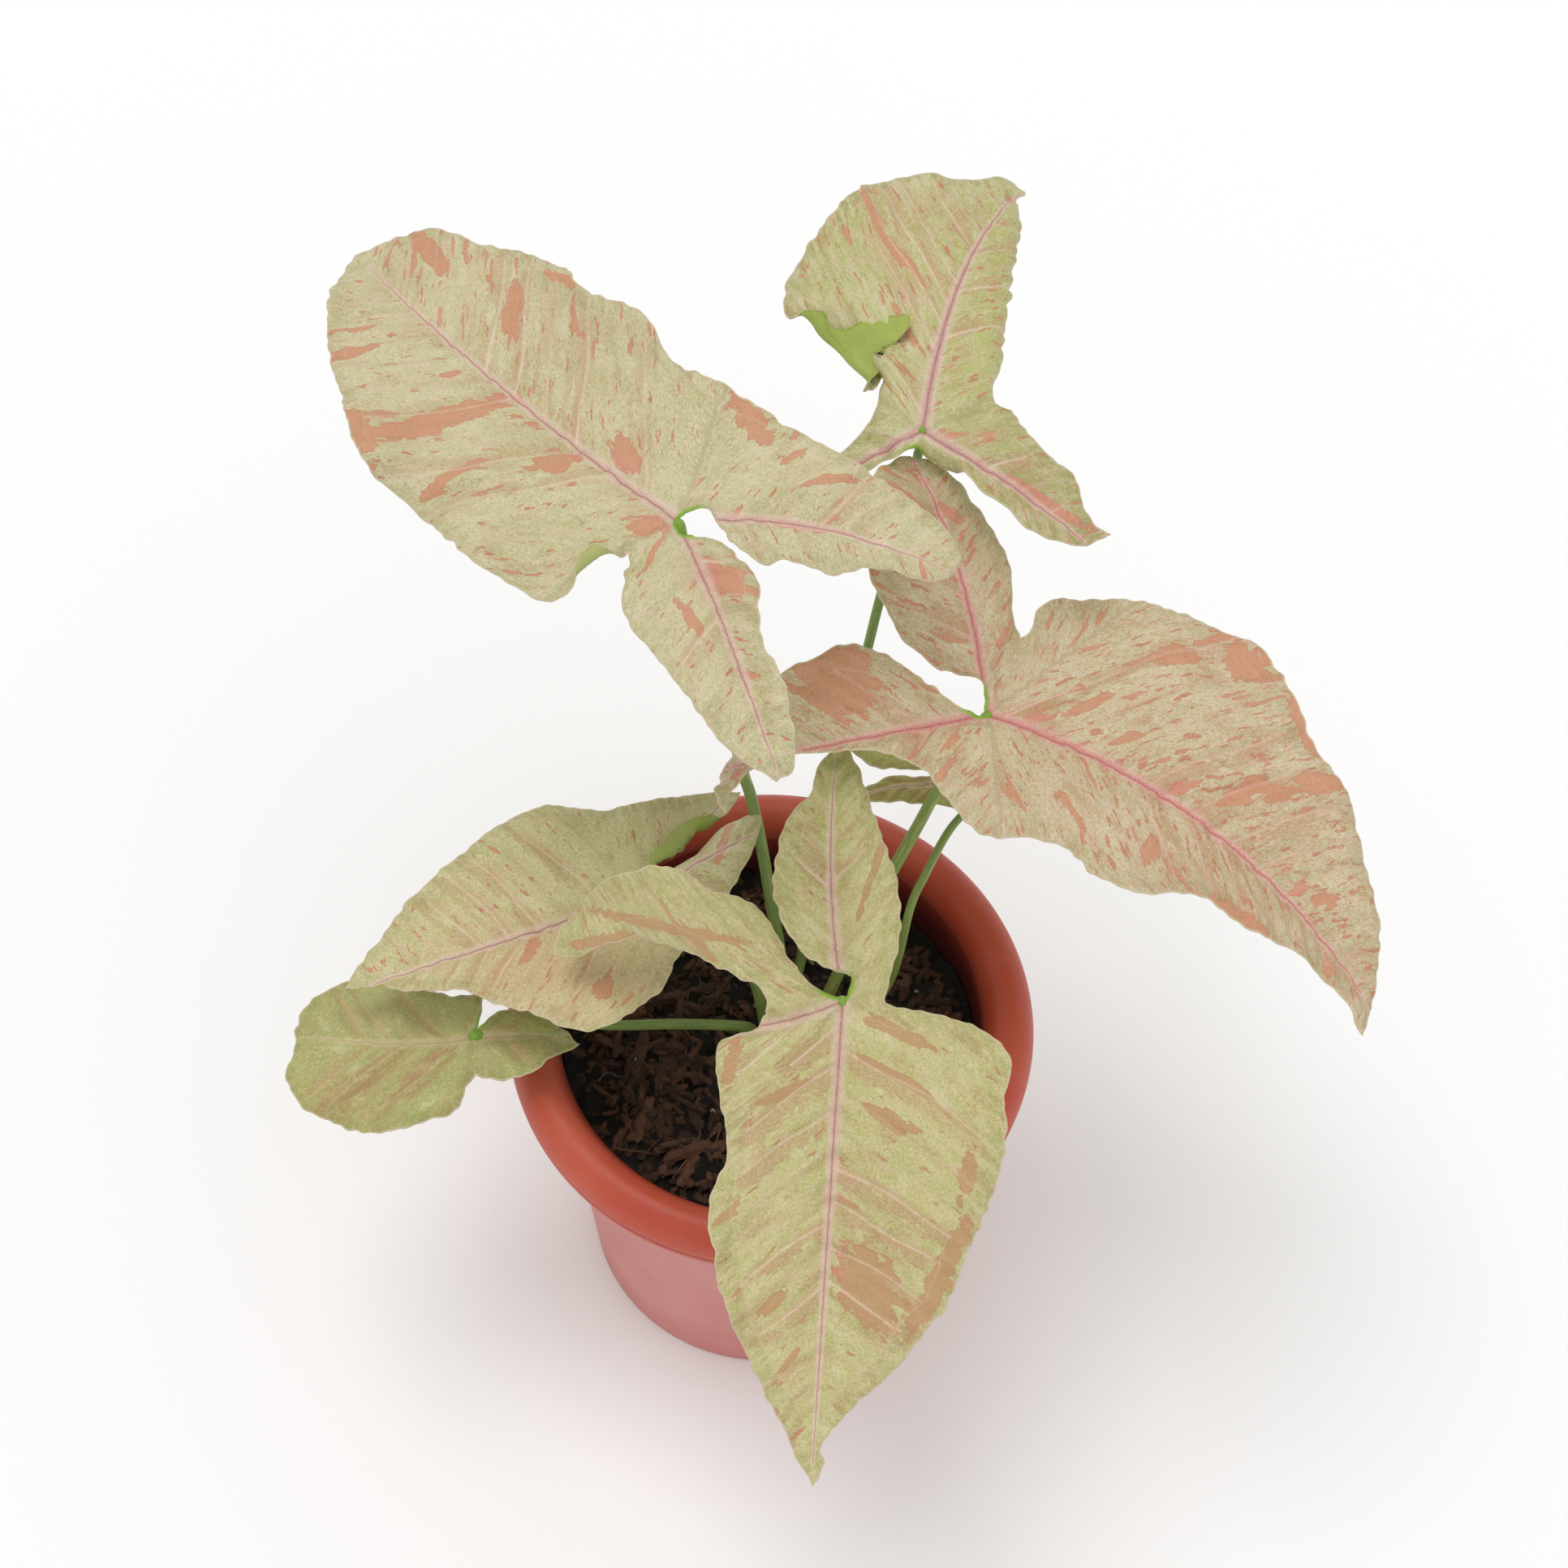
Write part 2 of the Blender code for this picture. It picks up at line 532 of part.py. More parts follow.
def make_pot(parts, tools):
    under = POT_HEIGHT - RIM_DEPTH
    lip = RIM_RADIUS - RIM_STEP
    profile = [
        (0, FLOOR), (inner_radius(FLOOR) - 2, FLOOR), (inner_radius(FLOOR + 2), FLOOR + 2),
        (inner_radius(60), 60), (inner_radius(under), under),
        (inner_radius(under), POT_HEIGHT - INNER_EDGE_DEPTH),
    ]
    profile += [(r, POT_HEIGHT - depth) for r, depth in RIM_OVER]
    profile += [(lip, POT_HEIGHT - RIM_STEP_DEPTH), (lip, under), (lip - WALL, under),
                (lip - WALL, POT_HEIGHT - 7)]
    profile += [(r, POT_HEIGHT - depth) for r, depth in RIM_UNDER]
    profile += [(WALL_TOP_RADIUS + 0.4, POT_HEIGHT - 8), (WALL_TOP_RADIUS, under), (wall_radius(60), 60),
                (wall_radius(FOOT_CHAMFER), FOOT_CHAMFER), (FOOT_RADIUS - FOOT_CHAMFER, 0), (0, 0)]
    pot = turned("pot", profile, POT_STEPS, parts)
    add_material(pot, "pot")
    pot.data.shade_smooth()
    for k in range(DRAIN_COUNT):
        angle = math.tau * k / DRAIN_COUNT
        shape = bmesh.new()
        bmesh.ops.create_cone(shape, cap_ends=True, segments=12, radius1=DRAIN_RADIUS * MM,
                              radius2=DRAIN_RADIUS * MM, depth=3 * FLOOR * MM)
        mesh = bpy.data.meshes.new("drain_%d" % k)
        shape.to_mesh(mesh)
        shape.free()
        drain = add_object("drain_%d" % k, mesh, tools)
        drain.location = (DRAIN_CIRCLE * MM * math.cos(angle), DRAIN_CIRCLE * MM * math.sin(angle),
                          FLOOR / 2 * MM)
        hide_tool(drain)
        cut = pot.modifiers.new("drain", "BOOLEAN")
        cut.operation = "DIFFERENCE"
        cut.solver = "EXACT"
        cut.object = drain


# Potting mix

def soil_height(x, y):
    place = Vector((x, y, 0.0))
    coarse = noise.noise(place * 0.055)
    fine = noise.noise(place * 0.17 + Vector((9.0, 4.0, 2.0)))
    sink = 2.5 * ease((math.hypot(x, y) - 38) / 16)
    return SOIL_TOP + SOIL_RELIEF * (1.2 * coarse + 0.9 * fine) - sink


def chip_mesh(name, draw):
    shape = bmesh.new()
    bmesh.ops.create_cube(shape, size=1.0)
    for vert in shape.verts:
        vert.co += Vector([draw.uniform(-0.16, 0.16) for axis in range(3)])
    bmesh.ops.triangulate(shape, faces=shape.faces)
    length, width = draw.uniform(*CHIP_LENGTH), draw.uniform(*CHIP_WIDTH)
    bmesh.ops.scale(shape, vec=(length * MM, width * MM, CHIP_DEPTH * MM), verts=shape.verts)
    mesh = bpy.data.meshes.new(name)
    shape.to_mesh(mesh)
    shape.free()
    return mesh


def make_soil(parts, tools, chips):
    bottom = FLOOR + GAP
    edge = inner_radius(SOIL_TOP) - EDGE_CLEAR
    profile = [(r, SOIL_TOP) for r in [0] + SOIL_RINGS + [edge]]
    profile += [(inner_radius(60) - GAP, 60), (inner_radius(5) - GAP - 2, 5),
                (inner_radius(bottom) - 4, bottom), (0, bottom)]
    blank = turned("soil_blank", profile, SOIL_STEPS, tools)
    graph = bpy.context.evaluated_depsgraph_get()
    mesh = bpy.data.meshes.new_from_object(blank.evaluated_get(graph))
    bpy.data.objects.remove(blank)
    mesh.name = "soil"
    for vert in mesh.vertices:
        if vert.co.z > (SOIL_TOP - 1) * MM:
            vert.co.z = soil_height(vert.co.x / MM, vert.co.y / MM) * MM
    soil = add_object("soil", mesh, parts)
    add_material(soil, "soil")
    draw = random.Random(CHIP_SEED)
    for k in range(CHIP_COUNT):
        chip = add_object("chip_%02d" % k, chip_mesh("chip_%02d" % k, draw), chips)
        radius, angle = CHIP_SPREAD * math.sqrt(draw.random()), draw.uniform(0, math.tau)
        x, y = radius * math.cos(angle), radius * math.sin(angle)
        chip.location = (x * MM, y * MM, (soil_height(x, y) + CHIP_PROUD - CHIP_DEPTH / 2) * MM)
        tilt = [draw.uniform(-CHIP_TILT, CHIP_TILT) for axis in range(2)]
        chip.rotation_euler = (*tilt, draw.uniform(0, math.tau))
        hide_tool(chip)
    join = soil.modifiers.new("chips", "BOOLEAN")
    join.operation = "UNION"
    join.solver = "EXACT"
    join.operand_type = "COLLECTION"
    join.collection = chips
    return soil


def cut_sockets(soil, sockets):
    for letter, leaf in LEAVES.items():
        path = [p for p in stalk_path(leaf) if p.z < SOIL_TOP + SOCKET_TOP]
        foot = path[0] - Vector((0, 0, GAP))
        mesh = tube_mesh("socket_" + letter, [foot] + path[1:], [leaf["girth"] + GAP] * len(path))
        hide_tool(add_object("socket_" + letter, mesh, sockets))
    cut = soil.modifiers.new("sockets", "BOOLEAN")
    cut.operation = "DIFFERENCE"
    cut.solver = "EXACT"
    cut.operand_type = "COLLECTION"
    cut.collection = sockets
    soil.data.shade_smooth()
    soil.data.set_sharp_from_angle(angle=math.radians(40))


def main():
    clear_scene()
    parts = new_collection("arrowhead_plant")
    tools = new_collection("cutters")
    chips = new_collection("chips")
    sockets = new_collection("sockets")
    make_pot(parts, tools)
    soil = make_soil(parts, tools, chips)
    cut_sockets(soil, sockets)
    for letter, leaf in LEAVES.items():
        make_blade(letter, leaf, parts)
        make_stalk(letter, leaf, parts)


main()
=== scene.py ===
import math
import random

import bmesh
import bpy
import numpy as np
from mathutils import Matrix, Vector, noise
from mathutils.geometry import delaunay_2d_cdt


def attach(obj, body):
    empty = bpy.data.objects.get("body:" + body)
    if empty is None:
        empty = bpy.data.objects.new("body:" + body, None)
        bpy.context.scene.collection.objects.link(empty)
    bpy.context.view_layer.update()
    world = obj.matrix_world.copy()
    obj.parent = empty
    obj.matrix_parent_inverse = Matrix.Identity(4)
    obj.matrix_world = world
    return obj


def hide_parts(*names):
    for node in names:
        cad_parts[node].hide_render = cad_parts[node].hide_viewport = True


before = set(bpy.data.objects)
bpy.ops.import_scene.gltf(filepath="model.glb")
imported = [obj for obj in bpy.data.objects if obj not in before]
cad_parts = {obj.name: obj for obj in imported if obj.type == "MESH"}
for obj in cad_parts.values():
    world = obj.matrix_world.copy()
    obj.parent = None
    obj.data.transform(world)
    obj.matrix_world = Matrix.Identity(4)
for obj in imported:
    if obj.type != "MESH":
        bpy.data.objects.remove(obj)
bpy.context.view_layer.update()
mm = 0.001  # every value below is in millimetres or degrees


# Camera, light and floor

view = {"aim": (0.5, 0, 233), "distance": 630, "elevation": 57, "roll": 2.7, "lens": 62.65, "sensor": 36}
studio = {
    "sky": (1.0, 1.0, 1.0), "skyPower": 0.70,
    "lamps": [  # direction it shines from, power, softness in degrees
        ((-0.2, 0.1, 1.0), 0.92, 30),
        ((0.6, -0.8, 0.9), 0.25, 60),
    ],
    "floor": (0.97, 0.97, 0.97), "floorSize": 6000,
}


def putObject(name, data):
    item = bpy.data.objects.new(name, data)
    bpy.context.scene.collection.objects.link(item)
    return item


def makeCamera():
    data = bpy.data.cameras.new("camera")
    data.lens, data.sensor_width = view["lens"], view["sensor"]
    camera = putObject("camera", data)
    down = math.radians(view["elevation"])
    ahead = Vector((0, math.cos(down), -math.sin(down)))
    place = (Vector(view["aim"]) - ahead * view["distance"]) * mm
    turn = Matrix.Rotation(math.pi / 2 - down, 4, "X") @ Matrix.Rotation(math.radians(view["roll"]), 4, "Z")
    camera.matrix_world = Matrix.Translation(place) @ turn
    bpy.context.scene.camera = camera


def makeStudio():
    world = bpy.data.worlds.new("studio")
    world.use_nodes = True
    sky = world.node_tree.nodes["Background"]
    sky.inputs["Color"].default_value = (*studio["sky"], 1)
    sky.inputs["Strength"].default_value = studio["skyPower"]
    bpy.context.scene.world = world
    for number, (source, power, soft) in enumerate(studio["lamps"]):
        data = bpy.data.lights.new("lamp%d" % number, "SUN")
        data.energy, data.angle = power, math.radians(soft)
        lamp = putObject("lamp%d" % number, data)
        lamp.location = Vector(source)
        lamp.rotation_euler = Vector(source).to_track_quat("Z", "Y").to_euler()
    half = studio["floorSize"] / 2 * mm
    mesh = bpy.data.meshes.new("floor")
    mesh.from_pydata([(-half, -half, 0), (half, -half, 0), (half, half, 0), (-half, half, 0)], [], [(0, 1, 2, 3)])
    floor = putObject("floor", mesh)
    paper = Finish("floorPaper")
    paper.surface({"Base Color": studio["floor"], "Roughness": 0.9})
    mesh.materials.append(paper.material)
    bpy.context.scene.view_settings.view_transform = "Standard"


# Materials: sums on wires add Math nodes, colours go through Mix nodes

def tone(red, green, blue):  # a colour as a screen shows it, 0 to 255, as the shader takes it
    return tuple(((c / 255 + 0.055) / 1.055) ** 2.4 if c > 10 else c / 255 / 12.92 for c in (red, green, blue))


class Wire:
    def __init__(self, finish, socket):
        self.finish, self.socket = finish, socket

    def other(self, name):
        return Wire(self.finish, self.socket.node.outputs[name])

    def maths(self, operation, first, second):
        return self.finish.add("ShaderNodeMath", {"operation": operation}, {0: first, 1: second})

    def __add__(self, other):
        return self.maths("ADD", self, other)

    def __radd__(self, other):
        return self.maths("ADD", other, self)

    def __sub__(self, other):
        return self.maths("SUBTRACT", self, other)

    def __rsub__(self, other):
        return self.maths("SUBTRACT", other, self)

    def __mul__(self, other):
        return self.maths("MULTIPLY", self, other)

    def __rmul__(self, other):
        return self.maths("MULTIPLY", other, self)

    def __truediv__(self, other):
        return self.maths("DIVIDE", self, other)

    def most(self, other):
        return self.maths("MAXIMUM", self, other)

    def least(self, other):
        return self.maths("MINIMUM", self, other)

    def wave(self):
        return self.maths("SINE", self, 0.0)

    def fade(self, low, high):  # 0 at low, 1 at high, smooth between, either way round
        settings = {"interpolation_type": "SMOOTHSTEP"}
        turned = low > high
        inputs = {"Value": self, "From Min": min(low, high), "From Max": max(low, high),
                  "To Min": 1.0 if turned else 0.0, "To Max": 0.0 if turned else 1.0}
        return self.finish.add("ShaderNodeMapRange", settings, inputs)


class Finish:
    def __init__(self, name):
        self.material = bpy.data.materials.new(name)
        self.material.use_nodes = True
        self.tree = self.material.node_tree
        self.shader = self.tree.nodes["Principled BSDF"]

    def add(self, kind, settings=None, inputs=None, out=0):
        node = self.tree.nodes.new(kind)
        for key, value in (settings or {}).items():
            if key == "stops":
                ramp = node.color_ramp.elements
                while len(ramp) < len(value):
                    ramp.new(0.5)
                for stop, (position, color) in zip(ramp, value):
                    stop.position, stop.color = position, (*color, 1)
            else:
                setattr(node, key, value)
        self.fill(node, inputs or {})
        ready = [s for s in node.outputs if s.enabled]
        return Wire(self, ready[out] if isinstance(out, int) else next(s for s in ready if s.name == out))

    def fill(self, node, inputs):
        for key, value in inputs.items():
            ready = [s for s in node.inputs if s.enabled]
            socket = node.inputs[key] if isinstance(key, int) else next(s for s in ready if s.name == key)
            if isinstance(value, Wire):
                self.tree.links.new(value.socket, socket)
            elif socket.type == "RGBA":
                socket.default_value = (*value, 1)
            else:
                socket.default_value = value

    def surface(self, inputs):
        self.fill(self.shader, inputs)

    def mix(self, share, first, second, mode="MIX"):
        settings = {"data_type": "RGBA", "blend_type": mode}
        return self.add("ShaderNodeMix", settings, {"Factor": share, "A": first, "B": second})

    def stretch(self, vector, scale):
        return self.add("ShaderNodeVectorMath", {"operation": "MULTIPLY"}, {0: vector, 1: scale})

    def shift(self, vector, move):
        return self.add("ShaderNodeVectorMath", {"operation": "ADD"}, {0: vector, 1: move})

    def noise(self, vector, scale, detail=3.0, rough=0.55):
        inputs = {"Vector": vector, "Scale": scale, "Detail": detail, "Roughness": rough}
        return self.add("ShaderNodeTexNoise", {}, inputs)

    def cells(self, vector, scale, feature="F1", loose=1.0):
        return self.add("ShaderNodeTexVoronoi", {"feature": feature},
                        {"Vector": vector, "Scale": scale, "Randomness": loose})

    def mark(self, name, out="Fac"):
        return self.add("ShaderNodeAttribute", {"attribute_name": name}, {}, out)

    def position(self):
        return self.add("ShaderNodeTexCoord", {}, {}, "Object")

    def bump(self, height, distance, strength=1.0):
        return self.add("ShaderNodeBump", {}, {"Height": height, "Distance": distance, "Strength": strength})


# Curves and meshes

def smoothRun(points, step):
    points = np.array(points, float)
    ends = np.vstack([2 * points[0] - points[1], points, 2 * points[-1] - points[-2]])
    t = np.linspace(0, 1, 17)[:-1, None]
    runs = [0.5 * (2 * b + (c - a) * t + (2 * a - 5 * b + 4 * c - d) * t ** 2 + (3 * b - a - 3 * c + d) * t ** 3)
            for a, b, c, d in zip(ends, ends[1:], ends[2:], ends[3:])]
    dense = np.vstack(runs + [points[-1:]])
    travelled = np.concatenate([[0], np.cumsum(np.linalg.norm(np.diff(dense, axis=0), axis=1))])
    marks = np.linspace(0, travelled[-1], max(3, round(travelled[-1] / step) + 1))
    return np.stack([np.interp(marks, travelled, dense[:, k]) for k in range(dense.shape[1])], 1)


def nearest(points, marks):  # distance from each point to the nearest mark, and which mark that is
    result, which = np.empty(len(points)), np.empty(len(points), int)
    for start in range(0, len(points), 2000):
        gap = ((points[start:start + 2000, None, :] - marks[None, :, :]) ** 2).sum(2)
        which[start:start + 2000] = gap.argmin(1)
        result[start:start + 2000] = np.sqrt(gap.min(1))
    return result, which


def makePiece(name, points, faces, finish, marks=None, smooth=True):
    mesh = bpy.data.meshes.new(name)
    mesh.from_pydata((np.asarray(points) * mm).tolist(), [], [tuple(map(int, f)) for f in faces])
    for key, values in (marks or {}).items():
        values = np.asarray(values, np.float32)
        kind = "FLOAT_VECTOR" if values.ndim == 2 else "FLOAT"
        layer = mesh.attributes.new(key, kind, "POINT")
        layer.data.foreach_set("vector" if values.ndim == 2 else "value", values.ravel())
    mesh.materials.append(finish.material)
    if smooth:
        mesh.shade_smooth()
    piece = putObject(name, mesh)
    return piece


# Leaves. "at" is the top of the stalk, "turn" is heading, pitch and roll of the main blade.
# A rib has its tip, sideways bow, the rise and sag of its far end, the slope of the blade on its left
# and right, the depth and half width of the fold along it, and its side veins: first start, gap, and
# lean on each side.
# Edge points are (along the main blade, across to its left), stroke by stroke.
# A pleat is (from u, v, to u, v, height, half width on its left and right); a lift moves one side of a cut.
# Paint is (kind, along, across, half length, half width, direction, strength); a shade patch is painted shade where
# that part of a blade lies in shadow.

leafA = {
    "at": (-26.6, 44.1, 273.4), "turn": (136, 0, 0), "size": 0.985, "wave": (1.2, 34, 20), "seed": 11,
    "ribs": [
        {"tip": (114, 0), "bow": 4, "rise": 10, "sag": -14, "left": 8, "right": 8,
         "fold": (1.0, 3), "veins": (6, 11.5, 0.38, 0.85)},
        {"tip": (-50, -42), "bow": 3, "rise": 6, "sag": -16, "left": 8, "right": -22,
         "fold": (0.8, 2.5), "veins": (10, 12, 0.7, 0.6)},
        {"tip": (-60, 24), "bow": 0, "rise": 4, "sag": -22, "left": 28, "right": 6,
         "fold": (0.9, 2.5), "veins": (12, 12, 0.7, 0.7)},
    ],
    "curls": [{"start": (5, 33), "end": (5, 15), "radius": 1.6, "angle": 150, "fade": 6, "reach": 5.8}],
    "pleats": [(1.5, -4, 13, -38, -2.0, 2.4, 3.4), (-8, -12, -22, -42, 1.0, 4, 4), (2, 6, 8, 36, 1.2, 3, 3),
               (34, -4, 56, -26, 1.0, 4, 2.5), (60, 8, 70, 42, -1.2, 2.5, 4), (20, -3, 36, -28, -0.9, 3, 3)],
    "edge": [
        [(118, 0), (115, -10), (108, -18), (95, -21.5), (85, -27), (73, -29.5), (60, -26), (45, -31),
         (29, -27), (12, -31), (-5, -37), (-23, -43), (-40, -48), (-47, -46.5), (-49.5, -41)],
        [(-49.5, -41), (-48, -36), (-38, -27), (-33, -18), (-24, -11), (-23, -6.5), (-17, -5),
         (-10, -5.5), (-4, -7.5), (-1, -5), (0.5, -1)],
        [(0.5, -1), (-2, 1.5), (-6, 0.5), (-11, -2.5), (-17, -2.5), (-26, -1), (-31, 3.5), (-38, 8.5),
         (-46, 10), (-52, 13.5), (-60, 19), (-59.5, 24.5)],
        [(-59.5, 24.5), (-49, 29), (-28, 28.5), (-12, 26.5), (-5, 21), (-1, 16), (0.5, 14.5)],
        [(0.5, 14.5), (0, 18), (-0.5, 23), (0.5, 28), (4.5, 35), (12, 39), (22.5, 43), (32, 42.5),
         (45, 42.5), (53, 45.5), (61, 44.5), (78.5, 35.5), (95.5, 26), (109, 15), (116, 5), (118, 0)],
    ],
    "stalk": [(2.5, 14, 104), (1.8, 17.7, 120), (-1.5, 23.4, 140), (-4.7, 29.8, 158),
              (-7.9, 33.7, 175), (-10.7, 35, 188), (-19, 40, 235), (-26.6, 44.1, 273.4)],
    "girth": 1.7,
    "hem": 3.4, "look": {"base": (214, 202, 166), "fresh": (198, 194, 142), "streaks": 0.64, "flecks": 0.64,
                         "dots": 0.63, "dotTone": 0.6, "hemTone": 0.15, "teaTone": 0.35, "bandTone": 0.6},
    "paint": [
        ("salmon", 57, 22, 21, 3.6, 76, 1), ("salmon", 64, 42, 9, 5, -20, 1), ("salmon", 21, -3, 6, 3, -12, 1),
        ("salmon", 30, 11, 7, 2.5, 75, 1), ("salmon", 72, -12, 9, 3, -45, 1), ("salmon", 104, -12, 11, 2.5, -12, 1),
        ("salmon", 3, 7, 6, 3, 60, 0.9), ("salmon", -20, 4, 9, 4, 5, 0.8), ("salmon", -22, 16, 6, 1.6, -10, 1),
        ("salmon", -17, -33, 8, 1.2, 60, 1), ("salmon", -20, -20, 14, 1.5, 42, 0.8), ("salmon", 42, 32, 9, 1.6, 75, 1),
        ("salmon", 90, 25, 9, 2, 65, 1), ("salmon", 6, -29, 8, 3, -10, 1), ("salmon", 70, -26, 8, 2, 5, 0.8),
        ("shade", -25, 0, 24, 9, 10, 0.45), ("shade", 66, -24, 28, 3, 0, 0.35), ("shade", 104, 0, 9, 12, 0, 0.30),
    ],
}
leafB = {
    "at": (29.4, 81.3, 264.7), "turn": (72, 2, 0), "size": 1.015, "wave": (1.0, 30, 0), "seed": 23,
    "ribs": [
        {"tip": (97, 4), "bow": 4, "rise": 25.3, "sag": -42, "left": 8, "right": -12,
         "fold": (0.8, 2.5), "veins": (4, 9, 1.1, 0.9)},
        {"tip": (-8, -46), "bow": 0, "rise": -2, "sag": -12, "left": 12, "right": 14,
         "fold": (0.8, 2.5), "veins": (8, 9, 0.8, 0.8)},
        {"tip": (-18, 27), "bow": 0, "rise": -8, "sag": -20, "left": -6, "right": -10,
         "fold": (0.6, 2.5), "veins": (10, 10, 0.8, 0.8)},
    ],
    "curls": [
        {"start": (23.4, 39.5), "end": (7.4, 13), "radius": 1.2, "angle": 172, "fade": 4, "reach": 21.3,
         "lay": True},
        {"start": (13, -9), "end": (89, 6), "radius": 4.0, "angle": -100, "fade": 4, "reach": 60},
        {"start": (-5, 6), "end": (0.5, -10), "radius": 2.5, "angle": -60, "fade": 5, "reach": 12},
    ],
    "lifts": [{"cut": ((22.6, 12.1), (6, 13.3)), "at": (14.5, 12.8), "reach": 8.2, "move": (-1.5, 4.4, 5)}],
    "pleats": [(1, -1, 19, -14, 1.4, 5, 1.2), (3, -4, 15, -12, -1.6, 1.2, 4)],
    "edge": [
        [(96.5, 3.5), (92, 3.4), (88.6, 4.6), (86.5, 2), (84, -4), (79, -10), (70, -16), (60, -20),
         (46, -23), (32, -21), (19, -14)],
        [(19, -14), (14, -18), (8.5, -23.5), (5.5, -30.5), (5.5, -36.5), (1.5, -39.5), (-2.5, -43.5),
         (-3, -48.5)],
        [(-3, -48.5), (-8, -44.5), (-12.5, -37.5), (-14, -31), (-12, -24), (-10.5, -18.5),
         (-7.5, -14.5), (-8, -9), (-7, -4), (-4.5, 0)],
        [(-4.5, 0), (-7, 4), (-10, 9), (-13, 15), (-18, 22), (-20, 30)],
        [(-20, 30), (-13, 26.5), (-7, 19.5), (-3.8, 16), (-0.7, 13.9), (1.9, 12.6), (6.4, 12.9),
         (11, 13.2), (16, 12.9), (20, 12.4), (22.6, 12.1)],
        [(22.6, 12.1), (19, 13), (14, 13.9), (9.5, 14), (6.5, 14.8), (4, 17), (2.5, 20), (0.5, 24),
         (-3.5, 28), (-5.4, 30.5), (-4.2, 32.5), (-2.4, 33.5), (-0.5, 34), (2.4, 34.3), (5.6, 33.4),
         (7.7, 32.3), (9.8, 31.7), (11.8, 31.6), (13.2, 32.3), (14.2, 33.9), (14.8, 35.4), (17, 36.9),
         (19.2, 38.2), (20.8, 40.6), (24.5, 43.8), (32, 45), (40.5, 44), (49, 41.5), (61.5, 39),
         (72, 37), (80, 31), (84, 25), (92, 16), (97, 9), (96.5, 3.5)],
    ],
    "stalk": [(6, 16, 104), (11, 34, 140), (17, 55, 180), (21.2, 67, 206), (25.5, 79, 226),
              (29, 88, 243), (29.6, 88, 254), (29.4, 81.3, 264.7)],
    "girth": 1.5,
    "hem": 3.6, "look": {"base": (206, 196, 154), "fresh": (178, 186, 98), "streaks": 0.68, "flecks": 0.61,
                         "dots": 0.62, "dotTone": 0.5, "hemTone": 0.3, "teaTone": 0.4, "bandTone": 0.8,
                         "ribBand": (204, 142, 146)},
    "paint": [
        ("salmon", 54, 30, 13, 1.4, 42, 1), ("salmon", 46, 21, 14, 1.2, 48, 1), ("salmon", 24, 12, 10, 1.2, 45, 0.9),
        ("salmon", 2, -8, 5, 1.2, -60, 0.8), ("shade", -4, -30, 24, 9, 80, 0.75), ("shade", 6, -14, 9, 6, -40, 0.7),
        ("fresh", 45, -6, 42, 9, 8, 0.85), ("salmon", -4, -30, 15, 1.4, 86, 1),
    ],
}
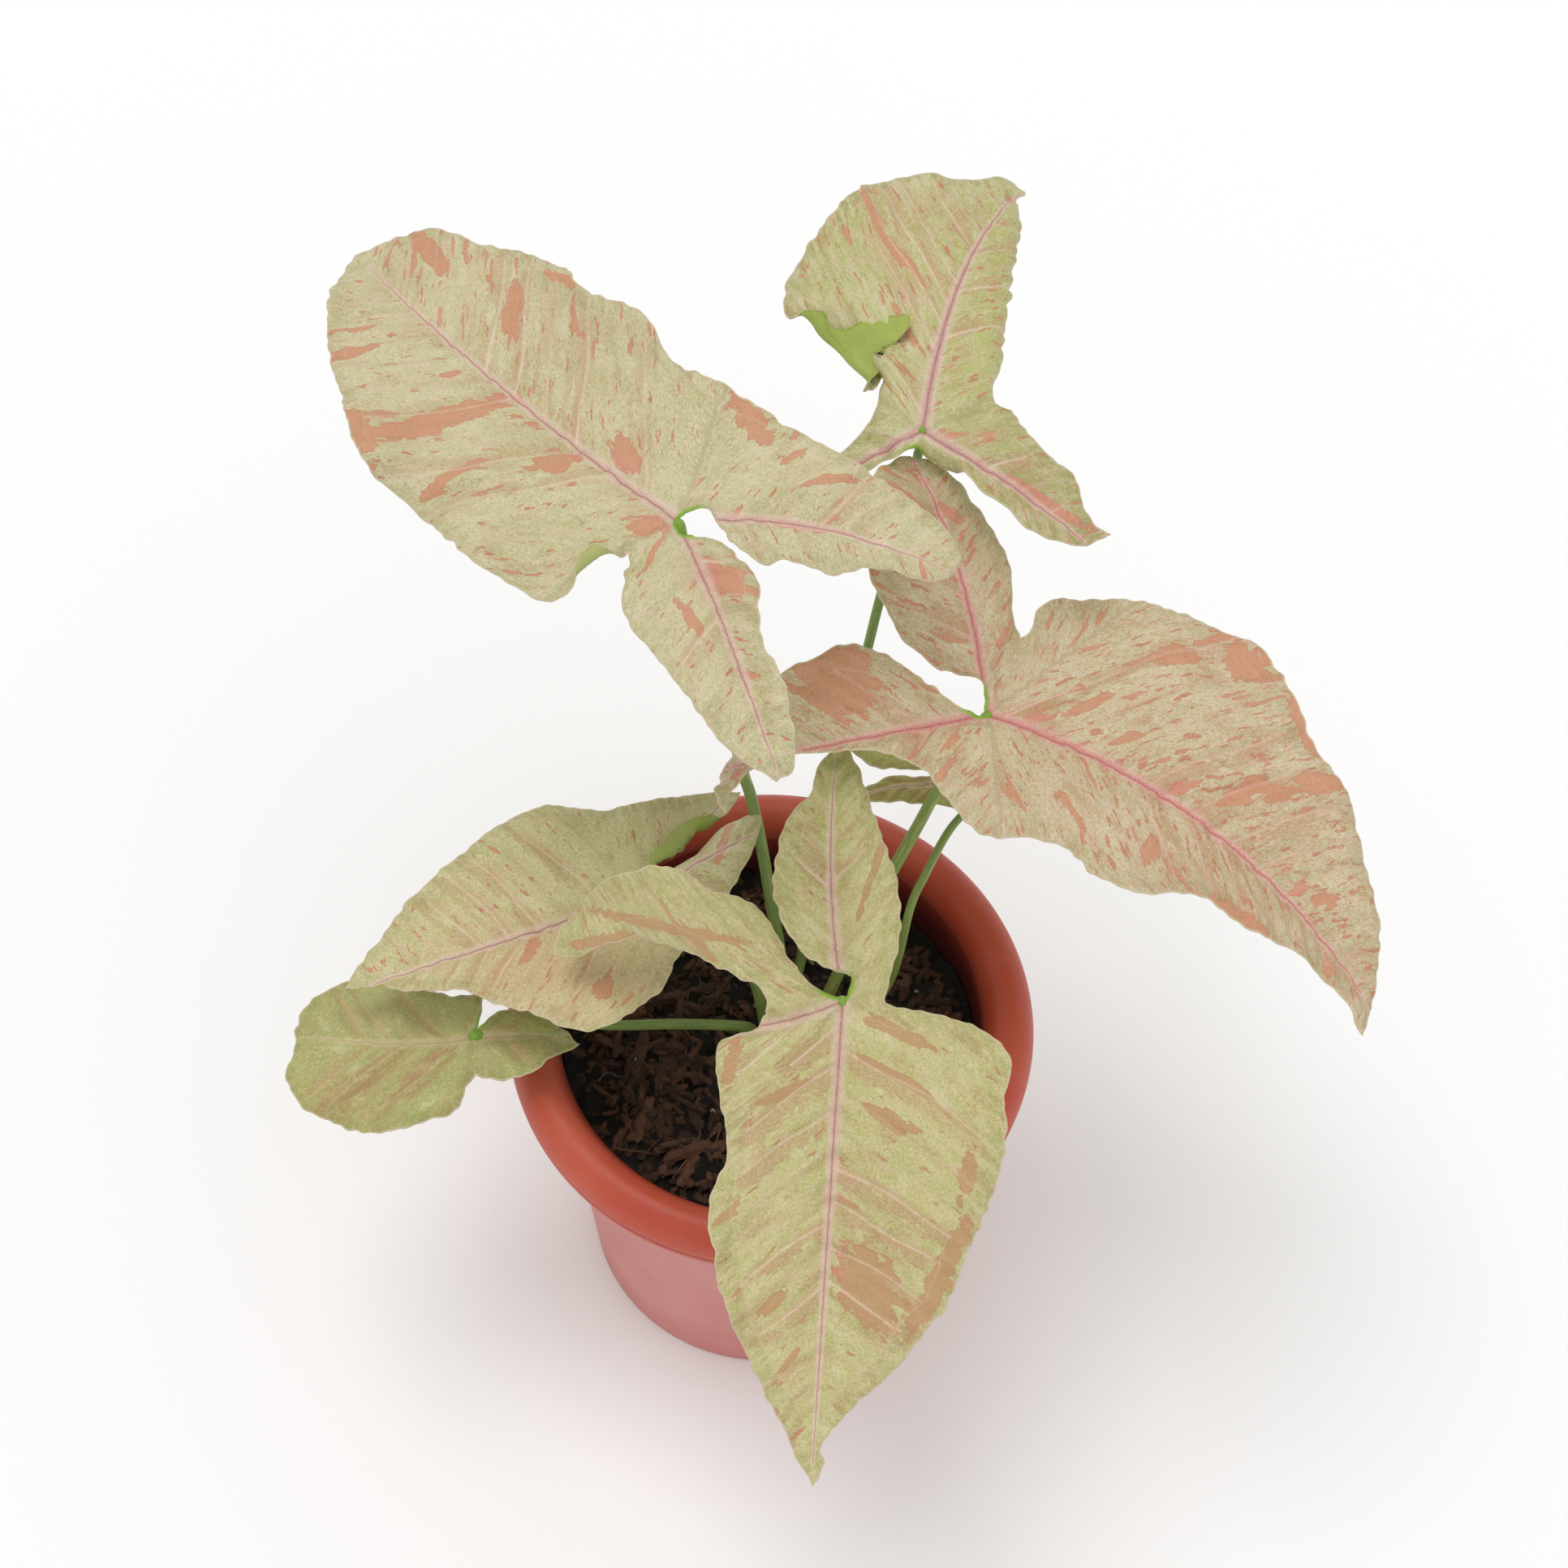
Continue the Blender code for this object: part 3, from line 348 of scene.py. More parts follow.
leafC = {
    "at": (49, 30, 222), "turn": (-32, -12, 0), "size": 1.0, "wave": (1.4, 36, 60), "seed": 37,
    "ribs": [
        {"tip": (114, 0), "bow": 5.2, "rise": 40, "sag": -46, "left": 14, "right": 26,
         "fold": (1.1, 3), "veins": (3, 11.5, 0.55, 0.75)},
        {"tip": (-52, 30), "bow": -3, "rise": 34, "sag": -6, "left": 0, "right": 6,
         "fold": (0.9, 3), "veins": (6, 10, 0.7, 0.7)},
        {"tip": (-46, -42), "bow": 3, "rise": 8, "sag": -34, "left": 24, "right": 6,
         "fold": (0.9, 3), "veins": (6, 9, 0.9, 1.0)},
    ],
    "curls": [],
    "edge": [
        [(115.5, -9.5), (103, -6), (95, -7.5), (85.5, -10), (77, -15), (64, -19.5), (55, -28),
         (45, -30), (34, -26), (27, -28.5), (18, -35), (11.5, -34.5), (3, -29.5), (-4, -25.5),
         (-15, -25), (-22, -28), (-31.5, -32.5), (-38, -39), (-40, -44.5), (-39, -49), (-36, -54.5)],
        [(-36, -54.5), (-40, -52), (-43, -47.5), (-45.5, -40), (-47, -28), (-46, -20), (-41.5, -14),
         (-36.5, -9), (-28.5, -6.5), (-20.5, -5.5), (-12, -4.5), (-5.5, -3.5), (-0.5, -0.5)],
        [(-0.5, -0.5), (-3, 2.5), (-6, 4.5), (-10, 2), (-14, 0), (-20, -1.5), (-28, -1.5),
         (-35, 0.5), (-41, 2.5), (-47, 6), (-52.5, 13), (-54.5, 21), (-51, 29.5)],
        [(-51, 29.5), (-42.5, 33), (-33.5, 33), (-22, 30.5), (-14.5, 25.5), (-9, 21), (-4.5, 19)],
        [(-4.5, 19), (-3.5, 22), (-5, 27), (-3, 33), (5.5, 41.5), (16, 45), (29, 50.5), (40, 53),
         (47, 50), (55, 43), (66.5, 35), (76, 33.5), (83, 31.5), (97.5, 21), (107, 12),
         (113, 3), (115.5, -9.5)],
    ],
    "stalk": [(14, 12, 104), (22, 19, 132), (30, 25, 157), (35, 28, 173), (39.6, 30, 190),
              (44.5, 31, 207), (49, 30, 222)],
    "girth": 1.8,
    "hem": 4.6, "look": {"base": (214, 196, 168), "fresh": (204, 192, 148), "streaks": 0.62, "flecks": 0.60,
                         "dots": 0.56, "dotTone": 0.6, "hemTone": 0.2, "teaTone": 0.6, "bandTone": 0.85, "rib": (176, 92, 92), "vein": (232, 184, 172),
                         "halo": (230, 186, 178), "ribBand": (212, 134, 132)},
    "paint": [
        ("salmon", -35, -15, 12, 8, -10, 1), ("salmon", 43, 46, 8, 4, -20, 1), ("salmon", 73, 29, 8, 3, 35, 1),
        ("salmon", 60, 17, 7, 2.5, 65, 1), ("salmon", 50, -15, 6, 2.2, -75, 1), ("salmon", 18, 14, 8, 1.6, 65, 1),
        ("salmon", 28, 37, 8, 3, 40, 0.9), ("salmon", 76, -14, 9, 3, 20, 1), ("salmon", 62, 38, 9, 3, -35, 0.9),
        ("shade", -38, 22, 18, 10, 10, 0.8), ("shade", -8, 22, 10, 5, -60, 0.5), ("shade", 95, -2, 22, 6, -10, 0.5),
        ("shade", -25, -24, 16, 4, 40, 0.4), ("shade", 74, -14, 22, 4, 25, 0.5), ("salmon", -36, 26, 5, 1.6, 10, 0.9),
    ],
}
leafD = {
    "at": (17, -30, 185), "turn": (-93, -30, 0), "size": 1.0, "wave": (1.3, 36, 0), "seed": 41,
    "ribs": [
        {"tip": (114, 3), "bow": 0, "rise": 8, "sag": -12, "left": 6, "right": 6,
         "fold": (1.0, 2.5), "veins": (2, 10.5, 0.42, 0.75)},
        {"tip": (-58, -7), "bow": 2, "rise": 0, "sag": -8, "left": 10, "right": 10,
         "fold": (1.8, 3), "veins": (9, 9, 0.9, 0.9)},
        {"tip": (-6, -70), "bow": 12, "rise": 20, "sag": -40, "left": 14, "right": 8,
         "fold": (2.2, 3), "veins": (9, 11, 1.2, 1.2)},
    ],
    "curls": [],
    "edge": [
        [(116, 3.5), (110, 5.5), (106, 4.5), (96.5, 11), (84, 21.5), (68, 31), (54.5, 35.5),
         (39.5, 40), (27.5, 41), (18.5, 40), (10.5, 41), (5.5, 37), (2.5, 31), (0.5, 19), (-0.5, 10)],
        [(-0.5, 10), (-7, 10.5), (-13.5, 12), (-22, 12), (-34.5, 8.5), (-47, 2.5), (-55, -0.5),
         (-62, -5)],
        [(-62, -5), (-57.5, -10.5), (-49.5, -12.5), (-45, -16), (-38, -18.5), (-26.5, -19),
         (-16, -15), (-10, -9.5), (-7.5, -4), (-6, 1.5)],
        [(-6, 1.5), (-1, 1), (-1.5, -3.5), (-4.5, -9), (-9, -13.5), (-17, -19), (-21.5, -23.5),
         (-23, -29), (-24.5, -35), (-28, -43), (-25, -57.5), (-20, -65), (-10.5, -71.5), (-4, -72)],
        [(-4, -72), (-4.5, -66), (-9, -56), (-10.5, -49), (-8.5, -40), (-2.5, -23), (1, -18.5),
         (5, -17.5)],
        [(5, -17.5), (9, -21.5), (12.5, -28.5), (22, -28), (37.5, -24), (50, -27), (62.5, -25),
         (79, -19), (97, -8.5), (111, 0), (116, 3.5)],
    ],
    "stalk": [(19, 11, 104), (18.6, 1, 124), (18, -12, 150), (17.5, -23, 171), (17, -30, 185)],
    "girth": 1.7,
    "hem": 5.0, "look": {"base": (208, 196, 146), "fresh": (190, 188, 112), "streaks": 0.66, "flecks": 0.66,
                         "dots": 0.64, "dotTone": 0.4, "hemTone": 0.2, "teaTone": 0.6, "bandTone": 0.5, "salmon": (190, 144, 102),
                         "rib": (160, 106, 92)},
    "paint": [
        ("salmon", 67, 12, 13, 8, 30, 0.9), ("salmon", 6, 14, 13, 1.8, 72, 0.9), ("salmon", 17, 15, 13, 1.4, 66, 0.9),
        ("salmon", 27, 14, 8, 2.4, 72, 0.9), ("salmon", 23, -12, 10, 1.6, -62, 0.9), ("salmon", 17, -25, 7, 2, -8, 0.9),
        ("salmon", 62, 29, 18, 3, -22, 0.9), ("salmon", 73, -10, 6, 2, -50, 0.8), ("salmon", 38, 33, 9, 2.5, -5, 0.8),
        ("salmon", -30, 4, 14, 1.2, -12, 0.9), ("salmon", -14, -45, 24, 1.4, 84, 1), ("salmon", -9, -60, 9, 1.5, 105, 1),
        ("shade", 62, 14, 22, 13, 25, 0.35), ("shade", -16, -44, 28, 7, 82, 0.4),
    ],
}
leafE = {
    "at": (-36, 14, 155), "turn": (199, -6, 0), "size": 1.0, "wave": (1.0, 30, 0), "seed": 53,
    "ribs": [
        {"tip": (80, -2), "bow": 2.5, "rise": 12, "sag": -20, "left": 20, "right": 12,
         "fold": (1.0, 3), "veins": (5, 9, 0.6, 0.5)},
        {"tip": (-36, 1), "bow": 0, "rise": 24, "sag": -8, "left": 6, "right": 2,
         "fold": (0.6, 2), "veins": (8, 8, 0.8, 0.8)},
        {"tip": (-32, -29), "bow": 0, "rise": -6, "sag": -6, "left": 12, "right": 4,
         "fold": (0.8, 2.5), "veins": (8, 9, 0.8, 0.8)},
    ],
    "curls": [{"start": (0, -6), "end": (-30, -25), "radius": 1.4, "angle": 150, "fade": 8, "reach": 5.7}],
    "edge": [
        [(80, -3), (71, -8.5), (58, -15.5), (45, -22), (32, -28), (18.5, -30), (7, -28), (-4, -26.5),
         (-14, -28), (-23, -29.5), (-30.5, -30.5), (-35, -28)],
        [(-35, -28), (-31, -23), (-25, -17), (-17, -10.5), (-9, -6), (-2, -3)],
        [(-2, -3), (-8, -4), (-15, -6.5), (-22, -8.5), (-28.5, -9), (-33, -7), (-35.5, -3.5),
         (-34.5, 0), (-32, 4), (-27.5, 8.5), (-23, 11.5), (-17, 15.5), (-11, 19.5), (-6, 23),
         (-1, 28.5), (6, 32), (13, 35.5), (20, 37.5), (27, 34.5), (32, 29.5), (41, 23.5),
         (48.5, 14.5), (56, 10), (64, 5), (71, -0.5), (80, -3)],
    ],
    "stalk": [(-1, 2, 104), (-2, 3, 113), (-5, 5, 130), (-12, 8, 144), (-23, 11.5, 152),
              (-36, 14, 155)],
    "girth": 1.7,
    "hem": 3.6, "look": {"base": (212, 200, 156), "fresh": (198, 196, 132), "streaks": 0.68, "flecks": 0.64,
                         "dots": 0.64, "dotTone": 0.5, "hemTone": 0.2, "teaTone": 0.4, "bandTone": 0.55, "rib": (126, 88, 80)},
    "paint": [
        ("wash", 22, 18, 30, 17, -20, 0.8), ("salmon", 15, 25, 5, 2.6, 60, 0.9), ("salmon", 30, 8, 6, 2.2, 60, 0.9),
        ("salmon", -25, -2, 9, 1.6, 60, 0.9), ("shade", -15, -27, 20, 3, 0, 0.6),
    ],
}
leafF = {
    "at": (-77, -19, 136), "turn": (177, -8, 0), "size": 1.0, "wave": (0.8, 24, 0), "seed": 67,
    "ribs": [
        {"tip": (46, 0), "bow": 2, "rise": 0, "sag": 0, "left": -16, "right": -28,
         "fold": (0.9, 2.5), "veins": (3, 7, 0.95, 0.8)},
        {"tip": (-28, -3), "bow": 0, "rise": 3, "sag": -8, "left": -10, "right": 6,
         "fold": (0.7, 2), "veins": (6, 7, 0.8, 0.8)},
        {"tip": (-3, -12), "bow": 0, "rise": 3, "sag": 0, "left": 0, "right": 0,
         "fold": (0.5, 2), "veins": (30, 9, 0.8, 0.8)},
    ],
    "curls": [],
    "edge": [
        [(48, -3), (47, -10), (42, -18), (34, -21.5), (24, -18), (15, -15), (6, -12), (-2, -12.5)],
        [(-2, -12.5), (-1.5, -8), (-1.5, -3), (0, 0)],
        [(0, 0), (-2.5, -4), (-7.5, -8), (-15, -8), (-21.5, -6), (-28, -2.5)],
        [(-28, -2.5), (-22.5, 3.5), (-17, 9.5), (-9, 11.5), (-3, 10.5)],
        [(-3, 10.5), (-1, 15), (0.5, 20), (7.5, 22.5), (15.5, 26), (25, 26.5), (35, 22.5),
         (43, 18.5), (48, 10), (47, 3), (48, -3)],
    ],
    "stalk": [(-4.5, 3, 104), (-8, 0.5, 112), (-24, -4.4, 121), (-40.7, -8.8, 127),
              (-57.2, -10.2, 130), (-68, -13.5, 131.5), (-77, -19, 136)],
    "girth": 1.6,
    "hem": 2.4, "look": {"base": (180, 178, 108), "fresh": (162, 168, 90), "streaks": 0.80, "flecks": 0.74,
                         "dots": 0.70, "dotTone": 0.3, "hemTone": 0.3, "teaTone": 0.45, "bandTone": 0.2, "rib": (176, 150, 112),
                         "vein": (196, 182, 124), "halo": (200, 190, 140)},
    "paint": [
        ("brown", 10, 9, 16, 3, 48, 0.9), ("brown", 28, 14, 17, 5, 42, 0.7), ("brown", 3, 20, 8, 3, 60, 0.5),
        ("fresh", 18, 4, 10, 2, 20, 0.9), ("shade", 22, -9, 22, 8, -10, 0.35), ("shade", -6, 2, 6, 8, 0, 0.8),
        ("fresh", 22, -8, 1.5, 0.6, 60, 1),
    ],
}
leafG = {
    "at": (55, 41, 175), "turn": (-2, -6, 0), "size": 1.0, "wave": (1.0, 28, 0), "seed": 79,
    "ribs": [
        {"tip": (64, 7), "bow": 0, "rise": 8, "sag": -14, "left": 8, "right": 8,
         "fold": (0.6, 2), "veins": (5, 8, 0.6, 0.6)},
        {"tip": (-34, -5), "bow": 0, "rise": 3, "sag": -8, "left": 8, "right": -16,
         "fold": (0.6, 2), "veins": (7, 8, 0.8, 0.8)},
        {"tip": (-38, 13), "bow": 0, "rise": 1, "sag": -10, "left": 10, "right": 6,
         "fold": (0.6, 2), "veins": (7, 8, 0.8, 0.8)},
    ],
    "curls": [],
    "edge": [
        [(64, 7), (57, 0), (46, -6), (30, -11), (14, -14), (3, -14), (-4, -11.5)],
        [(-4, -11.5), (-12, -10), (-18, -9), (-27, -8.5), (-34, -7)],
        [(-34, -7), (-33, -3), (-27, -0.5), (-18, 0), (-8, -0.5), (-0.5, 0)],
        [(-0.5, 0), (-8, 2.5), (-18, 3), (-28.5, 3), (-34, 6), (-40, 12)],
        [(-40, 12), (-30, 19), (-18, 21), (-8, 18), (-2, 16)],
        [(-2, 16), (3, 21), (13, 24.5), (27, 25.5), (42, 23), (55, 16.5), (64, 7)],
    ],
    "stalk": [(26, 8, 104), (32, 12, 125), (35, 19, 148), (38, 24, 155), (43, 31, 165),
              (48, 36, 169.5), (55, 41, 175)],
    "girth": 1.3,
    "hem": 3.0, "look": {"base": (190, 182, 104), "fresh": (194, 192, 100), "streaks": 0.76, "flecks": 0.74,
                         "dots": 0.70, "dotTone": 0.3, "hemTone": 0.3, "teaTone": 0.5, "bandTone": 0.3},
    "paint": [("brown", -20, -4, 16, 5, 0, 0.9), ("fresh", -26, 9, 14, 6, 0, 0.7)],
}
leaves = {"a": leafA, "b": leafB, "c": leafC, "d": leafD, "e": leafE, "f": leafF, "g": leafG}

blade = {
    "facet": 1.12, "edgeFacet": 0.9, "thick": 0.42, "edgeRipple": 0.40,
    "ribDeep": 0.4, "ribWide": 0.8, "veinDeep": 0.25, "veinWide": 0.6, "quilt": 0.62, "quiltReach": 5.0,
    "ribKeel": 1.3, "ribKeelWide": 1.2, "veinKeel": 0.2, "pucker": 0.6, "hemFold": 0.12, "frill": 1.1, "frillReach": 15,
}
leafColors = {
    "salmon": (206, 138, 106), "rose": (214, 130, 116), "blotchEdge": (168, 96, 70), "rib": (150, 104, 92),
    "ribBand": (210, 156, 148), "halo": (228, 204, 188), "vein": (232, 208, 186), "veinShade": (196, 150, 116),
    "olive": (128, 126, 66), "shade": (158, 138, 96),
    "brown": (160, 112, 72), "tea": (186, 142, 104), "pale": (222, 216, 176), "margin": (224, 204, 172), "wash": (216, 180, 140),
    "rim": (138, 178, 50), "under": (150, 168, 70), "underVein": (176, 190, 108),
}


def ease(x):
    x = np.clip(x, 0, 1)
    return x * x * (3 - 2 * x)


def ribMeasure(rib, u, v):
    length = math.hypot(*rib["tip"])
    eu, ev = rib["tip"][0] / length, rib["tip"][1] / length
    along = u * eu + v * ev
    t = np.clip(along / length, 0, 1)
    side = v * eu - u * ev - rib["bow"] * 4 * t * (1 - t)
    beyond = np.maximum(np.maximum(-along, along - length), 0)
    return t, side, np.hypot(beyond, side), along


def ribPoints(rib, along, side):  # the flat place of points given along and beside a rib
    length = math.hypot(*rib["tip"])
    eu, ev = rib["tip"][0] / length, rib["tip"][1] / length
    t = np.clip(along / length, 0, 1)
    across = side + rib["bow"] * 4 * t * (1 - t)
    return np.stack([along * eu - across * ev, along * ev + across * eu], -1)


def bladeHeight(leaf, u, v):
    total, weights, near = 0, 0, 1e9
    for rib in leaf["ribs"]:
        t, side, distance, along = ribMeasure(rib, u, v)
        weight = 1 / (distance + 3) ** 3
        left = 1 / (1 + np.exp(-side / 1.2))
        slope = math.tan(math.radians(rib["left"])) * left + math.tan(math.radians(rib["right"])) * (1 - left)
        total = total + weight * (rib["sag"] * t * t + rib["rise"] * t + slope * (np.hypot(distance, 1) - 1))
        weights = weights + weight
        near = np.minimum(near, distance)
    height, length, phase = leaf["wave"]
    angle = math.tau * (u * 0.85 + abs(v) * 0.5) / length + math.radians(phase) + np.where(v > 0, 0, 2.0)
    total = total / weights + height * np.minimum(near / 25, 1.3) ** 2 * np.sin(angle)
    for rib in leaf["ribs"]:
        t, side, distance, along = ribMeasure(rib, u, v)
        depth, wide = rib["fold"]
        total = total - depth * np.exp(-(distance / wide) ** 2) * ease(t * 6) * (1 - 0.6 * t)
    for pleat in leaf.get("pleats", []):
        total = total + pleatHeight(pleat, u, v)
    return total


def pleatHeight(pleat, u, v):  # a ridge or furrow that dies away at both ends
    fromU, fromV, toU, toV, height, left, right = pleat
    length = math.hypot(toU - fromU, toV - fromV)
    eu, ev = (toU - fromU) / length, (toV - fromV) / length
    along = (u - fromU) * eu + (v - fromV) * ev
    side = (v - fromV) * eu - (u - fromU) * ev
    wide = np.where(side > 0, left, right)
    return height * np.exp(-(side / wide) ** 2) * ease(along / (0.35 * length)) * ease((length - along) / (0.35 * length))


def liftShift(lift, u, v):
    (au, av), (bu, bv) = lift["cut"]
    mine = ((bu - au) * (v - av) - (bv - av) * (u - au)) > 0
    gap = np.hypot(u - lift["at"][0], v - lift["at"][1]) / lift["reach"]
    share = np.where(mine, np.maximum(1 - gap ** 2, 0) ** 2, 0)
    return share[:, None] * np.array(lift["move"])


def curlShift(leaf, curl, u, v):  # what a roll round a cylinder adds beyond its line
    start, end = np.array(curl["start"], float), np.array(curl["end"], float)
    length = np.linalg.norm(end - start)
    line = (end - start) / length
    away = np.array([line[1], -line[0]])
    along = (u - start[0]) * line[0] + (v - start[1]) * line[1]
    beyond = np.maximum(0, (u - start[0]) * away[0] + (v - start[1]) * away[1])
    share = ease(along / curl["fade"]) * ease((length - along) / curl["fade"])
    bend = share / curl["radius"]
    used = (bend >= 1e-4) & (beyond <= curl["reach"])
    bend = np.where(used, bend, 1)
    angle = np.minimum(bend * beyond, math.radians(abs(curl["angle"])))
    rest = beyond - angle / bend
    out = np.sin(angle) / bend + rest * np.cos(angle) - beyond
    rise = np.copysign((1 - np.cos(angle)) / bend + rest * np.sin(angle), curl["angle"])
    if curl.get("lay"):  # a flap that follows the height of its fold, not of the blade beyond it
        rise += share * (bladeHeight(leaf, u - beyond * away[0], v - beyond * away[1]) - bladeHeight(leaf, u, v))
    return np.where(used[:, None], np.stack([out * away[0], out * away[1], rise], -1), 0)


def leafTurn(leaf):
    heading, pitch, roll = (math.radians(a) for a in leaf["turn"])
    lean = Matrix.Rotation(-pitch, 3, "Y") @ Matrix.Rotation(roll, 3, "X")
    return np.array(Matrix.Rotation(heading, 3, "Z") @ lean)


def bladePoints(leaf, u, v):
    local = np.stack([u, v, bladeHeight(leaf, u, v)], -1)
    for curl in leaf["curls"]:
        local = local + curlShift(leaf, curl, u, v)
    for lift in leaf.get("lifts", []):
        local = local + liftShift(lift, u, v)
    return local @ leafTurn(leaf).T * leaf["size"] + np.array(leaf["at"])


def insideOutline(outline, points):
    odd = np.zeros(len(points), bool)
    x, y = points[:, 0], points[:, 1]
    for (ax, ay), (bx, by) in zip(outline, np.roll(outline, -1, 0)):
        if ay != by:
            odd ^= ((ay > y) != (by > y)) & (x < ax + (y - ay) * (bx - ax) / (by - ay))
    return odd


def bladeOutline(leaf):
    outline = np.vstack([smoothRun(stroke, blade["edgeFacet"])[:-1] for stroke in leaf["edge"]])
    ahead = np.roll(outline, -1, 0) - np.roll(outline, 1, 0)
    out = np.stack([ahead[:, 1], -ahead[:, 0]], 1) / np.linalg.norm(ahead, axis=1)[:, None]
    ripple = [noise.noise(Vector((u * 0.35, v * 0.35, leaf["seed"]))) for u, v in outline]
    return outline + out * np.array(ripple)[:, None] * blade["edgeRipple"] * 2


def bladeVeins(leaf, outline):  # midribs, then side veins with their strength, as flat runs of points
    draw = random.Random(leaf["seed"])
    ribs, veins, grades = [], [], []
    for rib in leaf["ribs"]:
        length = math.hypot(*rib["tip"])
        along = np.arange(1.0, length * 0.97, 1.05)
        ribs.append(ribPoints(rib, along, np.zeros(len(along))))
    for number, rib in enumerate(leaf["ribs"]):
        first, gap, leanLeft, leanRight = rib["veins"]
        length = math.hypot(*rib["tip"])
        for sign, lean in ((1, leanLeft), (-1, leanRight)):
            start, step = first + (0.35 * gap if sign < 0 else 0), gap
            while start < length * 0.90:
                side = np.arange(0.7, 60, 1.05)
                along = start + side * (lean + draw.uniform(-0.08, 0.08)) + 0.004 * side ** 2
                run = ribPoints(rib, along + 0.5 * np.sin(side / 4 + start), sign * side)
                reach = np.stack([ribMeasure(other, *run.T)[2] for other in leaf["ribs"]])
                good = insideOutline(outline, run) & (nearest(run, outline)[0] > leaf["hem"] - 0.4)
                good &= reach.argmin(0) == number
                stop = len(run) if good.all() else int(np.argmin(good))
                if stop > 3:
                    veins.append(run[:stop])
                    grades.append(draw.choice((1.0, 0.75, 0.35)) if start < length * 0.6 else draw.choice((0.4, 0.2)))
                start += step * draw.uniform(0.85, 1.15)
                step *= 0.965
    return ribs, veins, grades


def flatBlade(leaf):
    outline = bladeOutline(leaf)
    ribs, veins, grades = bladeVeins(leaf, outline)
    points, edges = [outline], []
    count = len(outline)
    for run in ribs + veins:
        good = insideOutline(outline, run) & (nearest(run, np.vstack(points))[0] > 0.4)
        index = np.where(good)[0]
        kept = run[good]
        edges += [(count + k, count + k + 1) for k in range(len(kept) - 1) if index[k + 1] == index[k] + 1]
        points.append(kept)
        count += len(kept)
    fixed = np.vstack(points)
    low, high = outline.min(0), outline.max(0)
    rows = np.arange(low[1], high[1], blade["facet"] * math.sqrt(0.75))
    grid = [np.stack([np.arange(low[0] + (k % 2) * blade["facet"] / 2, high[0], blade["facet"]),
                      np.full(len(np.arange(low[0] + (k % 2) * blade["facet"] / 2, high[0], blade["facet"])), v)], 1)
            for k, v in enumerate(rows)]
    grid = np.vstack(grid)
    grid = grid[insideOutline(outline, grid)]
    grid = grid[nearest(grid, fixed)[0] > 0.6 * blade["facet"]]
    spots = [Vector(p) for p in np.vstack([fixed, grid])]
    result = delaunay_2d_cdt(spots, edges, [list(range(len(outline)))], 1, 1e-5)
    flat = np.array([tuple(p) for p in result[0]])
    faces = np.array([f for f in result[2] if len(f) == 3])
    a, b, c = flat[faces[:, 0]], flat[faces[:, 1]], flat[faces[:, 2]]
    area = (b[:, 0] - a[:, 0]) * (c[:, 1] - a[:, 1]) - (b[:, 1] - a[:, 1]) * (c[:, 0] - a[:, 0])
    faces = np.where((area < 0)[:, None], faces[:, ::-1], faces)[np.abs(area) > 1e-6]
    return flat, faces, outline, veins, grades


def meshNormals(points, faces):
    cross = np.cross(points[faces[:, 1]] - points[faces[:, 0]], points[faces[:, 2]] - points[faces[:, 0]])
    normals = np.zeros_like(points)
    for k in range(3):
        np.add.at(normals, faces[:, k], cross)
    return normals / np.maximum(np.linalg.norm(normals, axis=1), 1e-9)[:, None]


def paintField(leaf, kind, flat, crisp):
    field = np.full(len(flat), -1.0 if crisp else 0.0)
    for name, u, v, long, wide, direction, strength in leaf["paint"]:
        if name == kind:
            c, s = math.cos(math.radians(direction)), math.sin(math.radians(direction))
            du, dv = flat[:, 0] - u, flat[:, 1] - v
            gap = np.hypot((du * c + dv * s) / long, (dv * c - du * s) / wide)
            field = np.maximum(field, strength - gap if crisp else strength * np.exp(-gap ** 2))
    return field


